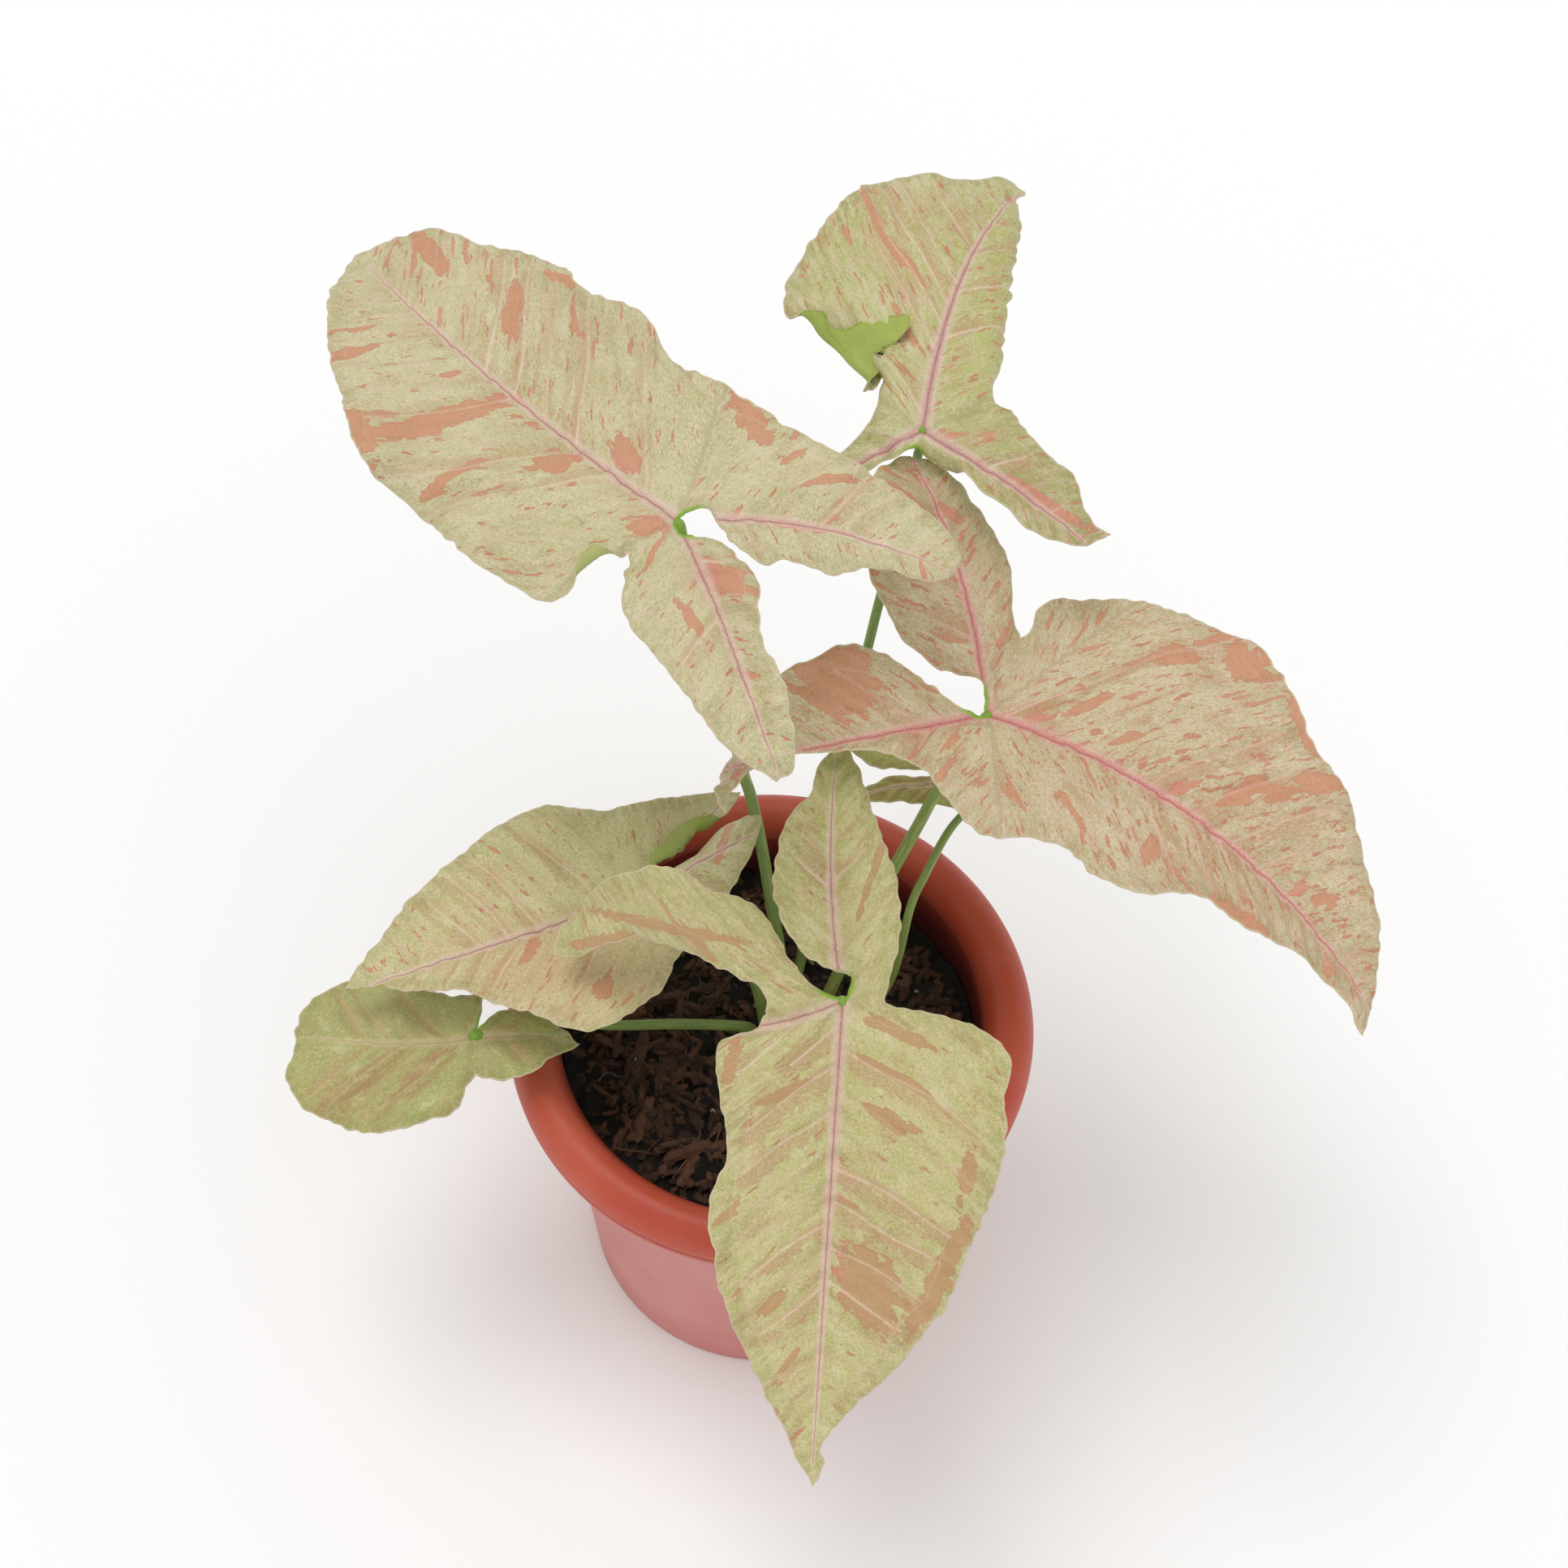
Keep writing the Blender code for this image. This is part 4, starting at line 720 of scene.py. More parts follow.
def bladeMarks(leaf, flat, outline, veins, grades):
    measures = [ribMeasure(rib, flat[:, 0], flat[:, 1]) for rib in leaf["ribs"]]
    distance = np.stack([m[2] for m in measures])
    order = np.sort(distance, 0)
    owner = distance.argmin(0)
    flow = np.zeros((len(flat), 3))
    taper = np.zeros(len(flat))
    for number, (rib, (t, side, gap, along)) in enumerate(zip(leaf["ribs"], measures)):
        lean = np.where(side > 0, rib["veins"][2], rib["veins"][3])
        mine = owner == number
        start = along - np.abs(side) * lean - 0.004 * side ** 2
        flow[mine] = np.stack([start, side, np.full(len(t), 40.0 * number + leaf["seed"])], 1)[mine]
        taper[mine] = t[mine]
    runs = [smoothRun(run, 0.35) for run in veins]
    veinGap, which = nearest(flat, np.vstack(runs))
    veinTone = np.repeat(grades, [len(run) for run in runs])[which] * (1 - 0.5 * np.clip(np.abs(flow[:, 1]) / 36, 0, 1))
    ahead = np.vstack([np.gradient(run, axis=0) for run in runs])[which]
    away = flat - np.vstack(runs)[which]
    turned = ahead[:, 0] * away[:, 1] - ahead[:, 1] * away[:, 0]
    veinSide = veinGap * np.where(turned * np.where(flow[:, 1] > 0, -1, 1) > 0, 1, -1)  # more than 0 towards the tip
    edgeGap = nearest(flat, smoothRun(np.vstack([outline, outline[:1]]), 0.3))[0]
    hem = leaf["hem"] * (1 + 0.3 * np.array([noise.noise(Vector((u * 0.08, v * 0.08, 5))) for u, v in flat]))
    return {
        "place": np.column_stack([flat, np.full(len(flat), float(leaf["seed"]))]), "flow": flow, "taper": taper,
        "ribGap": order[0], "sure": np.clip((order[1] - order[0]) / 5, 0, 1),
        "veinGap": veinGap, "veinTone": veinTone, "veinSide": veinSide, "edgeGap": edgeGap, "hemGap": edgeGap - hem,
        "heart": np.hypot(flat[:, 0], flat[:, 1]),
        "salmon": paintField(leaf, "salmon", flat, True), "shade": paintField(leaf, "shade", flat, False),
        "fresh": paintField(leaf, "fresh", flat, False), "brown": paintField(leaf, "brown", flat, False),
        "wash": paintField(leaf, "wash", flat, False),
    }


def makeBlade(letter, leaf):
    flat, faces, outline, veins, grades = flatBlade(leaf)
    marks = bladeMarks(leaf, flat, outline, veins, grades)
    skin = bladePoints(leaf, flat[:, 0], flat[:, 1])
    normals = meshNormals(skin, faces)
    ribShape = np.exp(-(marks["ribGap"] / blade["ribWide"]) ** 2) * (1.05 - marks["taper"])
    veinShape = np.exp(-(marks["veinGap"] / blade["veinWide"]) ** 2) * (0.4 + 0.6 * marks["veinTone"])
    thin = ease(marks["edgeGap"] / 2.5)
    near = np.minimum(marks["veinGap"], marks["ribGap"])
    pillow = blade["quilt"] * (np.minimum(near / blade["quiltReach"], 1) ** 0.7 - 0.6) * thin
    pucker = np.array([noise.noise(Vector((a * 0.28, b * 0.07, c))) for a, b, c in marks["flow"]])
    frill = np.array([noise.noise(Vector((u * 0.10, v * 0.10, 2.0 + leaf["seed"]))) for u, v in flat])
    frill *= blade["frill"] * 2 * ease(1 - marks["edgeGap"] / blade["frillReach"]) * ease(marks["heart"] / 20)
    relief = (pillow + blade["pucker"] * 2 * pucker * marks["sure"] * thin + frill
              + blade["hemFold"] * np.minimum(marks["hemGap"], 0)
              - blade["ribDeep"] * ribShape - blade["veinDeep"] * veinShape * thin)
    keel = blade["ribKeel"] * np.exp(-(marks["ribGap"] / blade["ribKeelWide"]) ** 2) * (1.05 - marks["taper"])
    thick = blade["thick"] * (0.55 + 0.45 * thin) + keel * ease(marks["edgeGap"]) + blade["veinKeel"] * veinShape * thin
    top = skin + normals * relief[:, None]
    under = top - normals * thick[:, None]
    count = len(flat)
    directed = np.vstack([faces[:, [0, 1]], faces[:, [1, 2]], faces[:, [2, 0]]])
    pairs = {(int(a), int(b)) for a, b in directed}
    rim = [(a, b) for a, b in pairs if (b, a) not in pairs]
    rim.sort()
    walls = [(b, a, a + count) for a, b in rim] + [(b, a + count, b + count) for a, b in rim]
    everything = np.vstack([faces, faces[:, ::-1] + count, np.array(walls)])
    both = {key: np.concatenate([values, values]) for key, values in marks.items()}
    both["under"] = np.concatenate([np.zeros(count), np.ones(count)])
    piece = makePiece("blade_" + letter, np.vstack([top, under]), everything,
                      leafSkin("leafSkin_" + letter, leaf["look"]), both)
    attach(piece, "root")
    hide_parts("leaf_" + letter)
    print("blade", letter, len(everything), "triangles")


def leafSkin(name, look):
    skin = Finish(name)
    color = {key: tone(*look.get(key, value)) for key, value in leafColors.items()}
    base, fresh = tone(*look["base"]), tone(*look["fresh"])
    place, flow = skin.mark("place", "Vector"), skin.mark("flow", "Vector")
    ribGap, veinGap, edgeGap = skin.mark("ribGap"), skin.mark("veinGap"), skin.mark("edgeGap")
    hemGap, veinTone = skin.mark("hemGap"), skin.mark("veinTone")
    taper, sure, under = skin.mark("taper"), skin.mark("sure"), skin.mark("under")
    broad = skin.noise(place, 0.06, 3.0)
    cloud = skin.noise(skin.stretch(flow, (0.42, 0.22, 1.0)), 1.0, 4.0, 0.6)
    fine = skin.noise(skin.stretch(flow, (2.6, 1.3, 1.0)), 1.0, 4.0, 0.7)
    grain = skin.noise(place, 3.2, 2.0, 0.6)
    net = skin.cells(place, 0.62, "DISTANCE_TO_EDGE")
    jagged = skin.shift(flow, skin.stretch(skin.noise(place, 0.9, 3.0, 0.7).other("Color"), (1.3, 2.6, 0.0)))
    streakField = skin.noise(skin.stretch(jagged, (0.20, 0.075, 1.0)), 1.0, 2.0, 0.6)
    fleckField = skin.noise(skin.stretch(jagged, (0.55, 0.20, 1.0)), 1.0, 2.0, 0.6)
    dotField = skin.noise(skin.stretch(jagged, (1.5, 0.75, 1.0)), 1.0, 2.0, 0.7)
    patchField = skin.noise(skin.stretch(jagged, (0.35, 0.20, 1.0)), 1.0, 3.0, 0.6)
    streaks = streakField.fade(look["streaks"], look["streaks"] + 0.012) * sure.fade(0.05, 0.3)
    flecks = fleckField.fade(look["flecks"], look["flecks"] + 0.02) * sure.fade(0.05, 0.3)
    dots = dotField.fade(look["dots"], look["dots"] + 0.035)
    patches = (skin.mark("salmon") + (patchField - 0.5) * 1.9).fade(0.0, 0.06)
    blotch = streaks.most(flecks).most(patches)
    inside = streakField.fade(look["streaks"] + 0.01, look["streaks"] + 0.035)
    inside = inside.most((skin.mark("salmon") + (patchField - 0.5) * 1.9).fade(0.05, 0.18))
    c = skin.mix(cloud.fade(0.36, 0.64) * 0.75 + (broad - 0.5) * 0.8, base, fresh)
    c = skin.mix(skin.mark("fresh") * 0.8, c, fresh)
    c = skin.mix(skin.mark("wash"), c, color["wash"])
    tea = skin.noise(skin.stretch(jagged, (0.16, 0.10, 1.0)), 1.0, 3.0, 0.62)
    veinWash = skin.mark("veinSide").fade(0.0, 0.35) * veinGap.fade(5.5, 3.0) * tea.fade(0.42, 0.46)
    rest = tea.fade(0.56, 0.585) * (0.6 + (cloud - 0.5) * 1.5)
    c = skin.mix((veinWash * veinTone.fade(0.2, 0.7)).most(rest) * look["teaTone"], c, color["tea"])
    c = skin.mix(tea.fade(0.40, 0.38) * 0.35, c, color["pale"])
    c = skin.mix(fine.fade(0.50, 0.66) * 0.60, c, color["pale"])
    c = skin.mix(fine.fade(0.49, 0.34) * 0.50, c, color["olive"])
    c = skin.mix(net.fade(0.09, 0.015) * broad.fade(0.40, 0.6) * 0.22, c, color["olive"])
    c = skin.mix(hemGap.fade(0.9, -0.9) * look["hemTone"] * cloud.fade(0.35, 0.6), c, color["olive"])
    # shade patches: painted shade, darkening the blade where it lies in shadow
    c = skin.mix(skin.mark("shade") * (0.55 + (cloud - 0.5) * 1.2), c, color["shade"])
    c = skin.mix(skin.mark("brown") * patchField.fade(0.38, 0.55), c, color["brown"])
    warm = skin.mix(ribGap.fade(7.0, 1.0) * 0.8, color["salmon"], color["rose"])
    c = skin.mix(dots * look["dotTone"], c, warm)
    c = skin.mix(blotch * (0.84 + (fine - 0.5) * 0.6), c, warm)
    c = skin.mix(blotch * (1.0 - inside) * 0.30, c, color["blotchEdge"])
    side = veinGap.fade(2.6, 0.3) * veinTone
    c = skin.mix(side * streakField.fade(0.42, 0.60) * edgeGap.fade(2.0, 6.0) * 0.65, c, color["veinShade"])
    c = skin.mix((veinGap.fade(0.9, 0.1) * 0.25 + veinGap.fade(0.34, 0.08) * 0.60) * veinTone, c, color["vein"])
    spread = 1.25 - taper
    feather = ribGap / spread + (fine - 0.5) * 1.6
    c = skin.mix(feather.fade(2.4, 0.5) * 0.70, c, color["halo"])
    c = skin.mix((feather + (grain - 0.5) * 0.8).fade(1.2, 0.35) * look["bandTone"], c, color["ribBand"])
    # thin dark core line down each rib: the rib's own darker colour with painted shade of the groove it lies in
    c = skin.mix((ribGap / spread).fade(0.34, 0.10) * (0.30 + fine * 0.7), c, color["rib"])
    c = skin.mix(hemGap.maths("ABSOLUTE", hemGap, 0.0).fade(0.35, 0.05) * 0.15, c, color["vein"])
    # pale line along every edge: the margin's own pale colour with a painted highlight on the edge
    c = skin.mix(edgeGap.fade(0.6, 0.2) * 0.75, c, color["margin"])
    c = skin.mix(edgeGap.fade(1.3, 0.5) * skin.mark("heart").fade(9.0, 4.5), c, color["rim"])
    c = skin.mix((grain - 0.5).most(0.0) * 1.1, c, color["pale"])
    c = skin.mix((0.5 - grain).most(0.0) * 1.1, c, color["olive"])
    below = skin.mix(broad.fade(0.35, 0.65) * 0.5, color["under"], fresh)
    below = skin.mix(veinGap.fade(0.9, 0.2) * 0.5 + ribGap.fade(1.6, 0.6) * 0.6, below, color["underVein"])
    c = skin.mix(under, c, below)
    height = net.fade(0.0, 0.12) * 0.25 + fine * 0.75
    skin.surface({"Base Color": c, "Roughness": 0.44 + fine * 0.16, "Normal": skin.bump(height, 0.0002, 0.7),
                  "Specular IOR Level": 0.42})
    return skin


# Stalks

stalk = {"foot": 92, "step": 1.3, "sides": 20, "taper": 0.22, "sheath": 0.55, "sheathReach": 16, "join": 7}
stalkColors = {"low": (112, 138, 74), "high": (158, 174, 92), "pale": (196, 206, 150), "top": (124, 168, 52),
               "sheath": (190, 150, 118), "speck": (70, 84, 44)}
stalkLooks = {"a": 0.35, "b": 0.1, "c": 0.9, "d": 0.5, "e": 0.2, "f": 0.1, "g": 0.5}  # how pale each one is


def stalkSkin(letter):
    skin = Finish("stalkSkin_" + letter)
    color = {key: tone(*value) for key, value in stalkColors.items()}
    run, around, left = skin.mark("run"), skin.mark("around"), skin.mark("left")
    grain = skin.add("ShaderNodeCombineXYZ", {}, {"X": around * 2.4, "Y": run * 0.05, "Z": float(ord(letter))})
    lines = skin.noise(grain, 2.2, 3.0)
    blots = skin.noise(skin.position(), 900.0, 3.0)
    c = skin.mix((lines.fade(0.35, 0.7) * 0.6 + stalkLooks[letter] * 0.4), color["low"], color["high"])
    # pale lengthwise streaks: painted highlight along the stalk's ridges
    c = skin.mix(lines.fade(0.55, 0.75) * (0.2 + 0.5 * stalkLooks[letter]), c, color["pale"])
    c = skin.mix(left.fade(12.0, 3.0) * 0.8, c, color["top"])
    c = skin.mix(run.fade(24.0, 14.0) * blots.fade(0.4, 0.6) * 0.6, c, color["sheath"])
    c = skin.mix(blots.fade(0.70, 0.76) * 0.6, c, color["speck"])
    skin.surface({"Base Color": c, "Roughness": 0.36 + blots * 0.16, "Normal": skin.bump(lines, 0.00012, 0.5)})
    return skin


def makeStalk(letter, leaf):
    route = [(leaf["stalk"][0][0], leaf["stalk"][0][1], stalk["foot"])] + leaf["stalk"]
    path = smoothRun(route, stalk["step"])
    down = leafTurn(leaf)[:, 2]
    path[-1] -= down * 0.3
    count = len(path)
    run = np.concatenate([[0], np.cumsum(np.linalg.norm(np.diff(path, axis=0), axis=1))])
    ahead = np.gradient(path, axis=0)
    ahead /= np.linalg.norm(ahead, axis=1)[:, None]
    side = np.cross(ahead, (0.0, 0.0, 1.0)) + 1e-6
    side /= np.linalg.norm(side, axis=1)[:, None]
    other = np.cross(side, ahead)
    left = run[-1] - run
    radius = leaf["girth"] * (1 - stalk["taper"] * run / run[-1])
    radius = radius * (1 + stalk["sheath"] * ease(1 - run / stalk["sheathReach"]) + 0.25 * ease(1 - left / stalk["join"]))
    radius = radius * (1 - 0.55 * ease(1 - left / 1.6))
    angle = np.arange(stalk["sides"]) * math.tau / stalk["sides"]
    groove = 1 - 0.12 * np.exp(-((angle - math.pi / 2) / 0.5) ** 2)  # the shallow channel on the upper side
    ring = np.cos(angle)[None, :, None] * side[:, None, :] + np.sin(angle)[None, :, None] * other[:, None, :]
    tube = (path[:, None, :] + ring * (radius[:, None] * groove[None, :])[:, :, None]).reshape(-1, 3)
    n = stalk["sides"]
    faces = [(k * n + j, k * n + (j + 1) % n, (k + 1) * n + (j + 1) % n, (k + 1) * n + j)
             for k in range(count - 1) for j in range(n)]
    faces += [tuple(range(n))[::-1], tuple((count - 1) * n + j for j in range(n))]
    marks = {"run": np.repeat(run, n), "left": np.repeat(left, n), "around": np.tile(np.abs(angle - math.pi), count)}
    piece = makePiece("petiole_" + letter, tube, faces, stalkSkin(letter), marks)
    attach(piece, "root")
    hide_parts("stalk_" + letter)


# Pot

pot = {"height": 125, "rim": 70, "crest": 63.3, "rimDeep": 12, "wallTop": 58.5, "foot": 50.3, "wall": 1.8,
       "floor": 2.2, "drains": 6, "drainRadius": 3.5, "drainCircle": 33, "steps": 192}
potColors = {"rim": (186, 70, 46), "worn": (204, 104, 80), "body": (208, 140, 136), "inside": (128, 44, 34),
             "deepShade": (82, 26, 24), "scuff": (226, 196, 184)}


def wallRadius(z):
    return pot["foot"] + (pot["wallTop"] - pot["foot"]) * z / (pot["height"] - pot["rimDeep"])


def arc(center, radius, first, last, count):
    angles = [math.radians(first + (last - first) * k / count) for k in range(count + 1)]
    return [(center[0] + radius * math.cos(a), center[1] + radius * math.sin(a)) for a in angles]


def potProfile():
    top, under = pot["height"], pot["height"] - pot["rimDeep"]
    lip, wall = pot["rim"] - 0.5, pot["wall"]
    inner = [(0, pot["floor"]), (wallRadius(2) - wall - 2, pot["floor"]), (wallRadius(4) - wall, 4.2)]
    inner += [(wallRadius(z) - wall, z) for z in (20, 40, 60, 80, 95, 104)]
    inner += [(wallRadius(under) - wall, under - 1), (56.4, under + 4.3), (56.7, under + 4.9), (57.3, top - 6.4),
              (57.5, top - 5.6), (57.9, top - 4.4), (58.5, top - 3.0), (59.4, top - 1.7), (60.3, top - 0.9),
              (61.3, top - 0.35), (62.3, top - 0.08), (pot["crest"], top), (64.4, top - 0.15), (65.4, top - 0.5),
              (66.6, top - 1.2), (67.6, top - 2.0), (68.5, top - 3.1), (69.2, top - 4.3), (69.7, top - 5.7),
              (pot["rim"], top - 7.2), (69.95, top - 8.1), (69.6, top - 8.6), (lip, top - 8.8), (lip, top - 9.4),
              (lip + 0.25, top - 9.7), (lip + 0.25, top - 10.2), (lip, top - 10.5), (lip, under + 0.4),
              (lip - 0.3, under), (lip - wall + 0.3, under), (lip - wall, under + 0.4), (lip - wall, top - 7)]
    inner += [(66.6, top - 4), (pot["crest"], top - 2.2), (61, top - 3.4), (pot["wallTop"] + 0.4, top - 8),
              (pot["wallTop"], under)]
    inner += [(wallRadius(z), z) for z in (100, 80, 60, 40, 20, 4, 1.5)]
    return inner + [(pot["foot"] - 0.5, 0.5), (pot["foot"] - 1.5, 0), (0, 0)]


def potPlastic():
    plastic = Finish("potPlastic")
    color = {key: tone(*value) for key, value in potColors.items()}
    place = plastic.position()
    high = plastic.add("ShaderNodeSeparateXYZ", {}, {"Vector": place}, "Z") * 1000.0
    inside = plastic.mark("inside")
    cloud = plastic.noise(place, 28.0, 4.0, 0.6)
    grain = plastic.noise(place, 900.0, 2.0)
    dust = plastic.noise(plastic.stretch(place, (1.0, 1.0, 3.0)), 160.0, 5.0, 0.65)
    c = plastic.mix(cloud.fade(0.35, 0.7) * 0.45, color["rim"], color["worn"])
    c = plastic.mix(high.fade(113.5, 111.5) * (0.75 + (cloud - 0.5)), c, color["body"])
    c = plastic.mix(dust.fade(0.55, 0.75) * high.fade(112.0, 60.0) * 0.3, c, color["scuff"])
    # inside colours: painted shade on the pot's inner wall, growing darker further down towards the soil
    c = plastic.mix(inside * high.fade(120.0, 117.5), c, color["inside"])
    c = plastic.mix(inside * high.fade(117.0, 106.0), c, color["deepShade"])
    c = plastic.mix(dust.fade(0.735, 0.76) * 0.7, c, color["scuff"])
    rough = 0.40 + cloud * 0.18 + dust.fade(0.5, 0.8) * 0.2
    plastic.surface({"Base Color": c, "Roughness": rough, "Normal": plastic.bump(grain + dust * 0.6, 0.00008, 0.5)})
    return plastic


def makePot():
    profile = np.array(potProfile())
    steps = pot["steps"]
    angle = np.arange(steps) * math.tau / steps
    points, inside = [], []
    for number, (r, z) in enumerate(profile[1:-1]):
        points += [(r * math.cos(a), r * math.sin(a), z) for a in angle]
        inside += [1.0 if number < 20 else 0.0] * steps
    rows = len(profile) - 2
    faces = [(k * steps + j, k * steps + (j + 1) % steps, (k + 1) * steps + (j + 1) % steps, (k + 1) * steps + j)
             for k in range(rows - 1) for j in range(steps)]
    first, last = len(points), len(points) + 1
    points += [(0, 0, profile[0][1]), (0, 0, 0)]
    inside += [1.0, 0.0]
    faces += [(first, (j + 1) % steps, j) for j in range(steps)]
    faces += [(last, (rows - 1) * steps + j, (rows - 1) * steps + (j + 1) % steps) for j in range(steps)]
    shell = makePiece("potShell", points, faces, potPlastic(), {"inside": inside})
    cutDrains(shell)
    shell.data.set_sharp_from_angle(angle=math.radians(42))
    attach(shell, "root")
    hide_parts("pot")


def cutDrains(shell):
    drills = []
    for k in range(pot["drains"]):
        angle = math.tau * k / pot["drains"]
        shape = bmesh.new()
        size = pot["drainRadius"] * mm
        bmesh.ops.create_cone(shape, cap_ends=True, segments=32, radius1=size, radius2=size, depth=3 * pot["floor"] * mm)
        spin = Vector((math.cos(angle), math.sin(angle), 0)) * pot["drainCircle"] * mm
        bmesh.ops.translate(shape, verts=shape.verts, vec=spin + Vector((0, 0, pot["floor"] / 2 * mm)))
        mesh = bpy.data.meshes.new("drill")
        shape.to_mesh(mesh)
        shape.free()
        drills.append(putObject("drill", mesh))
        cut = shell.modifiers.new("drain", "BOOLEAN")
        cut.operation, cut.solver, cut.object = "DIFFERENCE", "EXACT", drills[-1]
    graph = bpy.context.evaluated_depsgraph_get()
    mesh = bpy.data.meshes.new_from_object(shell.evaluated_get(graph))
    shell.modifiers.clear()
    shell.data = mesh
    for drill in drills:
        bpy.data.objects.remove(drill)


# Potting mix

soil = {"top": 106.2, "relief": 2.6, "grid": 0.8, "radius": 55.6, "seed": 7, "chips": 1250, "fibres": 60, "grains": 30}
soilColors = {"dark": (20, 14, 12), "earth": (40, 28, 23), "bark": (104, 70, 52), "red": (158, 104, 76),
              "pale": (168, 134, 104), "white": (196, 190, 178)}


def soilHeight(x, y):
    spot = Vector((x, y, 0))
    bed = 1.2 * noise.noise(spot * 0.055) + 0.9 * noise.noise(spot * 0.17 + Vector((9, 4, 2)))
    sink = 2.5 * float(ease((math.hypot(x, y) - 38) / 16))
    crumb = 0.9 * noise.noise(spot * 0.45) + 0.5 * noise.noise(spot * 1.1)
    return soil["top"] + soil["relief"] * bed * 0.8 + crumb - sink


def soilEarth(name, shades, share):
    earth = Finish(name)
    place = earth.position()
    own = earth.mark("own")
    cloud = earth.noise(place, 260.0, 4.0, 0.7)
    grit = earth.noise(place, 1500.0, 3.0, 0.7)
    fibre = earth.noise(earth.stretch(earth.mark("grain", "Vector"), (0.4, 4.5, 4.5)), 1.0, 4.0, 0.7)
    c = earth.mix(own.fade(0.2, 1.0), shades[0], shades[1])
    c = earth.mix(fibre.fade(0.35, 0.7) * share, c, shades[2])
    c = earth.mix(cloud.fade(0.45, 0.7) * 0.5, c, tone(*soilColors["dark"]))
    earth.surface({"Base Color": c, "Roughness": 0.45 + grit * 0.4, "Normal": earth.bump(grit + fibre * 2.0, 0.0004, 0.9)})
    return earth


def makeSoilBed():
    step, radius = soil["grid"], soil["radius"]
    rings = int(radius / step)
    points, faces = [(0, 0, soilHeight(0, 0))], []
    steps = 300
    for k in range(1, rings + 1):
        r = radius * k / rings
        for j in range(steps):
            a = math.tau * j / steps
            x, y = r * math.cos(a), r * math.sin(a)
            points.append((x, y, soilHeight(x, y)))
    faces += [(0, 1 + j, 1 + (j + 1) % steps) for j in range(steps)]
    for k in range(rings - 1):
        a, b = 1 + k * steps, 1 + (k + 1) * steps
        faces += [(a + j, b + j, b + (j + 1) % steps, a + (j + 1) % steps) for j in range(steps)]
    outer = 1 + (rings - 1) * steps
    low = len(points)
    points += [((wallRadius(5) - 4) * math.cos(math.tau * j / steps), (wallRadius(5) - 4) * math.sin(math.tau * j / steps), 2.6)
               for j in range(steps)]
    faces += [(outer + j, low + j, low + (j + 1) % steps, outer + (j + 1) % steps) for j in range(steps)]
    faces.append(tuple(low + j for j in reversed(range(steps))))
    shades = [tone(*soilColors[k]) for k in ("dark", "earth", "earth")]
    count = len(points)
    marks = {"own": [0.35] * count, "grain": np.array(points)}
    bed = makePiece("mixBed", points, faces, soilEarth("mixEarth", shades, 0.5), marks)
    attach(bed, "root")
    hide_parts("soil")


def chipShape(draw, length, width, thick):  # a splintered slab with a ragged outline
    across, rows = 4, 6
    ring = []
    for k in range(rows + 1):
        t = k / rows
        narrow = 0.35 + 0.65 * math.sin(math.pi * (0.12 + 0.76 * t)) ** 0.6
        shift = draw.uniform(-0.12, 0.12) * width
        for side in (1, -1):
            for j in range(across + 1):
                s = (j / across - 0.5) * side
                x = (t - 0.5) * length + draw.uniform(-0.06, 0.06) * length
                y = s * width * narrow + shift + draw.uniform(-0.06, 0.06) * width
                z = side * thick * (0.5 - 0.5 * abs(2 * s) ** 3) + draw.uniform(-0.14, 0.14) * thick
                ring.append((x, y, z))
    n = 2 * (across + 1)
    faces = [(k * n + j, k * n + (j + 1) % n, (k + 1) * n + (j + 1) % n, (k + 1) * n + j)
             for k in range(rows) for j in range(n)]
    faces += [tuple(reversed(range(n))), tuple(rows * n + j for j in range(n))]
    return np.array(ring), faces


def clearOfStalks(x, y, gap):
    return all(math.hypot(x - leaf["stalk"][0][0], y - leaf["stalk"][0][1]) > gap for leaf in leaves.values())


def scatter(name, draw, count, build, finish, lift, spread=52):
    points, faces, own, grain = [], [], [], []
    total = 0
    for k in range(count):
        for attempt in range(40):
            r, a = spread * math.sqrt(draw.random()), draw.uniform(0, math.tau)
            x, y = r * math.cos(a), r * math.sin(a)
            if clearOfStalks(x, y, 3.5):
                break
        shape, sides = build(draw)
        turn = (Matrix.Rotation(draw.uniform(0, math.tau), 3, "Z") @ Matrix.Rotation(draw.gauss(0, 0.35), 3, "X")
                @ Matrix.Rotation(draw.gauss(0, 0.28), 3, "Y"))
        placed = shape @ np.array(turn).T + np.array((x, y, soilHeight(x, y) + draw.uniform(*lift)))
        reach = np.hypot(placed[:, 0], placed[:, 1]).max()
        if reach > 55.5:
            placed[:, :2] *= 55.5 / reach
        points.append(placed)
        faces += [tuple(total + i for i in f) for f in sides]
        own += [draw.random()] * len(shape)
        grain.append(shape + np.array((0, 0, 50 * draw.random())))
        total += len(shape)
    marks = {"own": own, "grain": np.vstack(grain)}
    piece = makePiece(name, np.vstack(points), faces, finish, marks, smooth=False)
    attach(piece, "root")
    print(name, len(faces), "faces")
    return piece


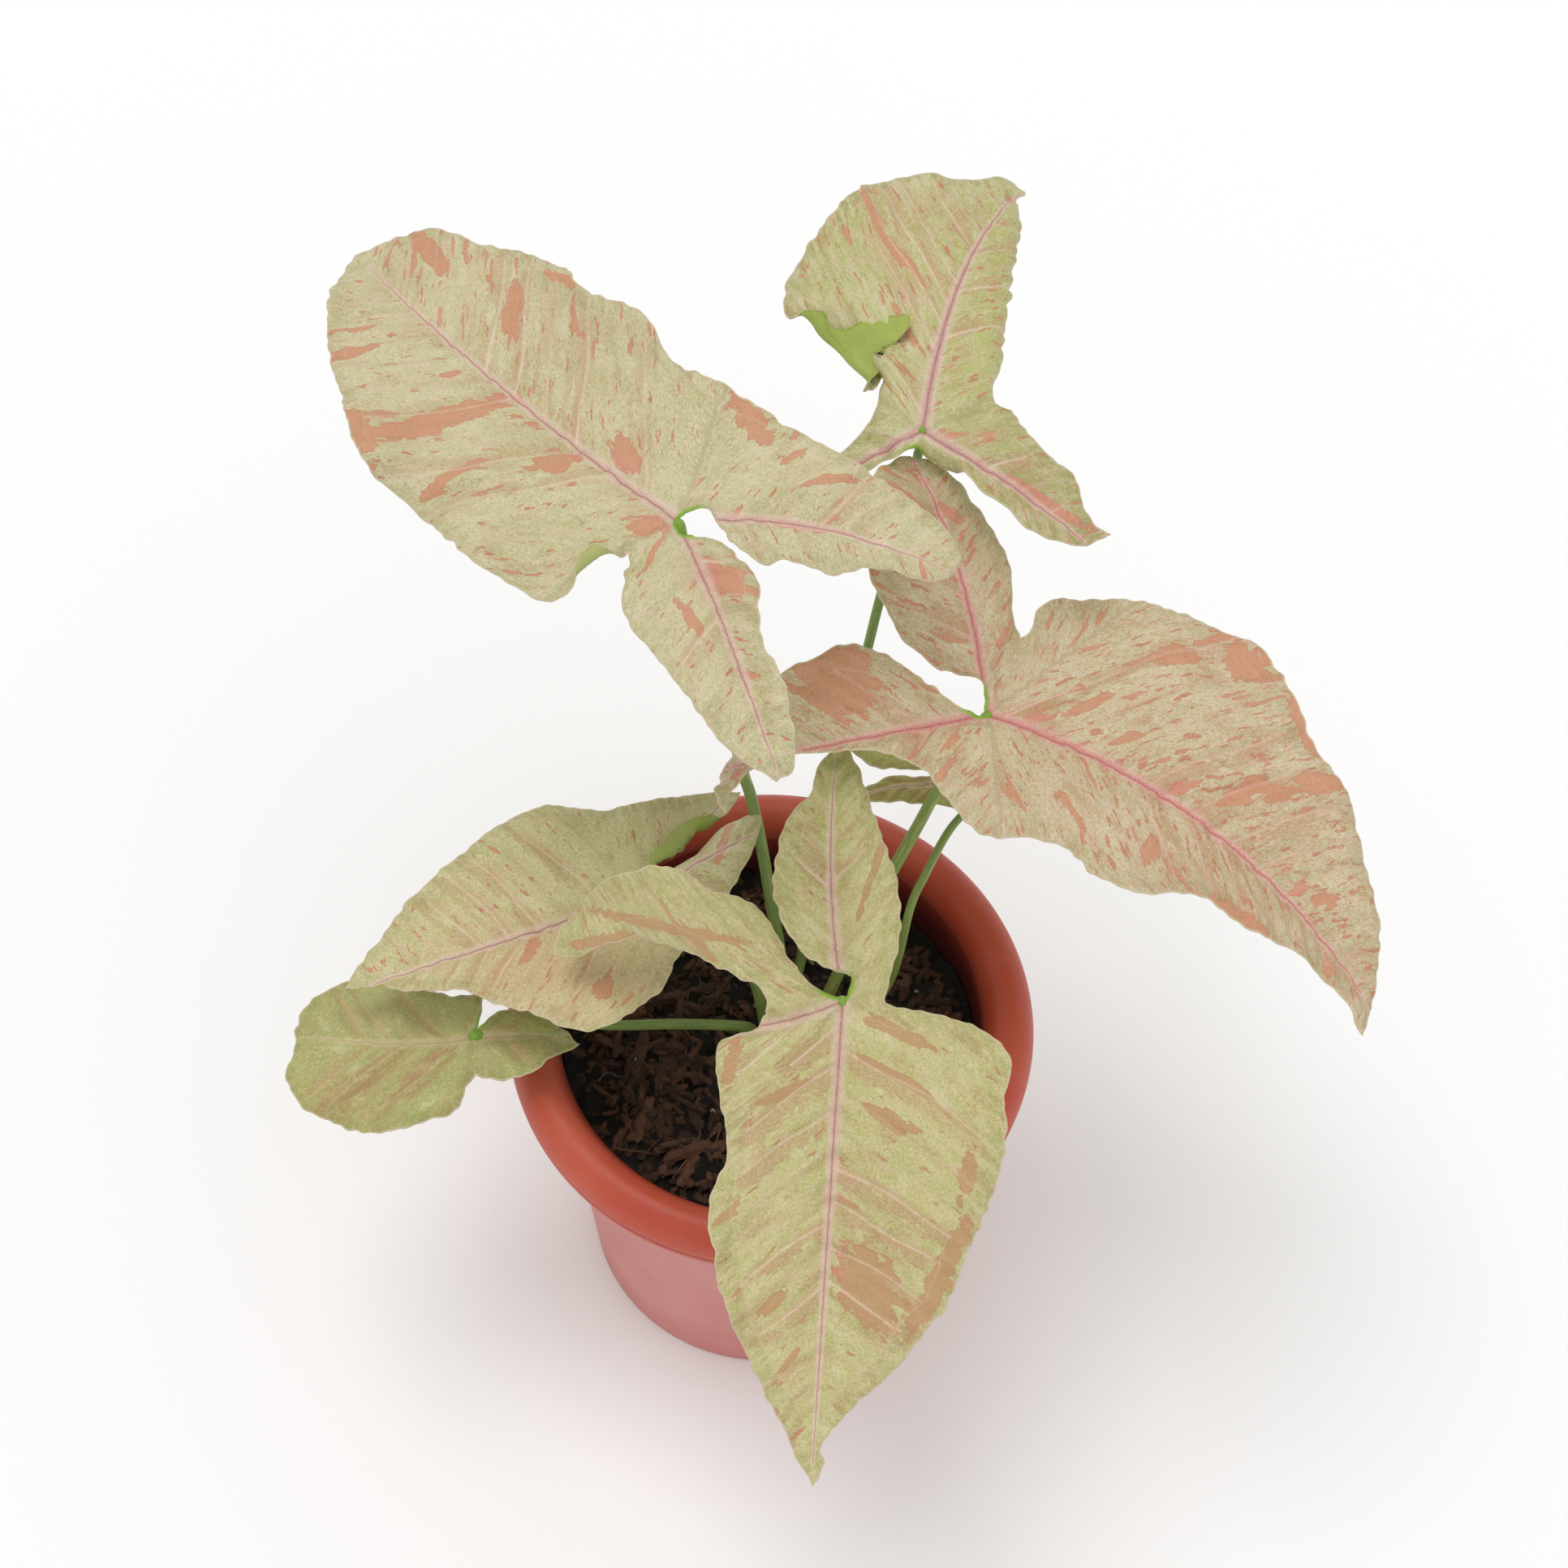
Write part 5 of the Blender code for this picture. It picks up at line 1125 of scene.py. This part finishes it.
def fibreShape(draw):
    length, bow = draw.uniform(6, 22), draw.uniform(-3, 3)
    route = [(-length / 2, 0, 0), (-length / 6, bow, draw.uniform(0, 0.8)), (length / 6, bow * draw.uniform(-1, 1), 0.4),
             (length / 2, 0, 0)]
    path = smoothRun(route, 1.2)
    radius = draw.uniform(0.10, 0.28)
    ring = [(p[0], p[1] + radius * math.cos(a), p[2] + radius * math.sin(a))
            for p in path for a in np.arange(5) * math.tau / 5]
    n = 5
    faces = [(k * n + j, k * n + (j + 1) % n, (k + 1) * n + (j + 1) % n, (k + 1) * n + j)
             for k in range(len(path) - 1) for j in range(n)]
    faces += [tuple(reversed(range(n))), tuple((len(path) - 1) * n + j for j in range(n))]
    return np.array(ring), faces


def makeMix():
    makeSoilBed()
    draw = random.Random(soil["seed"])
    shade = {key: tone(*value) for key, value in soilColors.items()}
    bark = soilEarth("barkChip", [shade["dark"], shade["bark"], shade["red"]], 0.45)
    build = lambda d: chipShape(d, d.uniform(1.6, 5.5), d.uniform(1.0, 2.6), d.uniform(0.8, 1.8))
    scatter("barkCrumbs", draw, soil["chips"], build, bark, (-0.4, 0.8))
    build = lambda d: chipShape(d, d.uniform(5, 13), d.uniform(1.6, 3.6), d.uniform(1.0, 2.0))
    scatter("barkChips", draw, soil["chips"] // 7, build, bark, (0.0, 1.6), 48)
    strand = soilEarth("rootFibre", [shade["bark"], shade["pale"], shade["red"]], 0.4)
    scatter("rootFibres", draw, soil["fibres"], fibreShape, strand, (0.3, 1.6), 50)
    grain = soilEarth("perlite", [shade["white"], shade["pale"], shade["white"]], 0.4)
    build = lambda d: chipShape(d, d.uniform(0.8, 1.8), d.uniform(0.7, 1.5), d.uniform(0.5, 1.2))
    scatter("perliteGrains", draw, soil["grains"], build, grain, (0.5, 1.2), 50)


makeCamera()
makeStudio()
print("studio ready")
for letter, leaf in leaves.items():
    makeBlade(letter, leaf)
    makeStalk(letter, leaf)
print("leaves ready")
makePot()
print("pot ready")
makeMix()
print("potting mix ready")
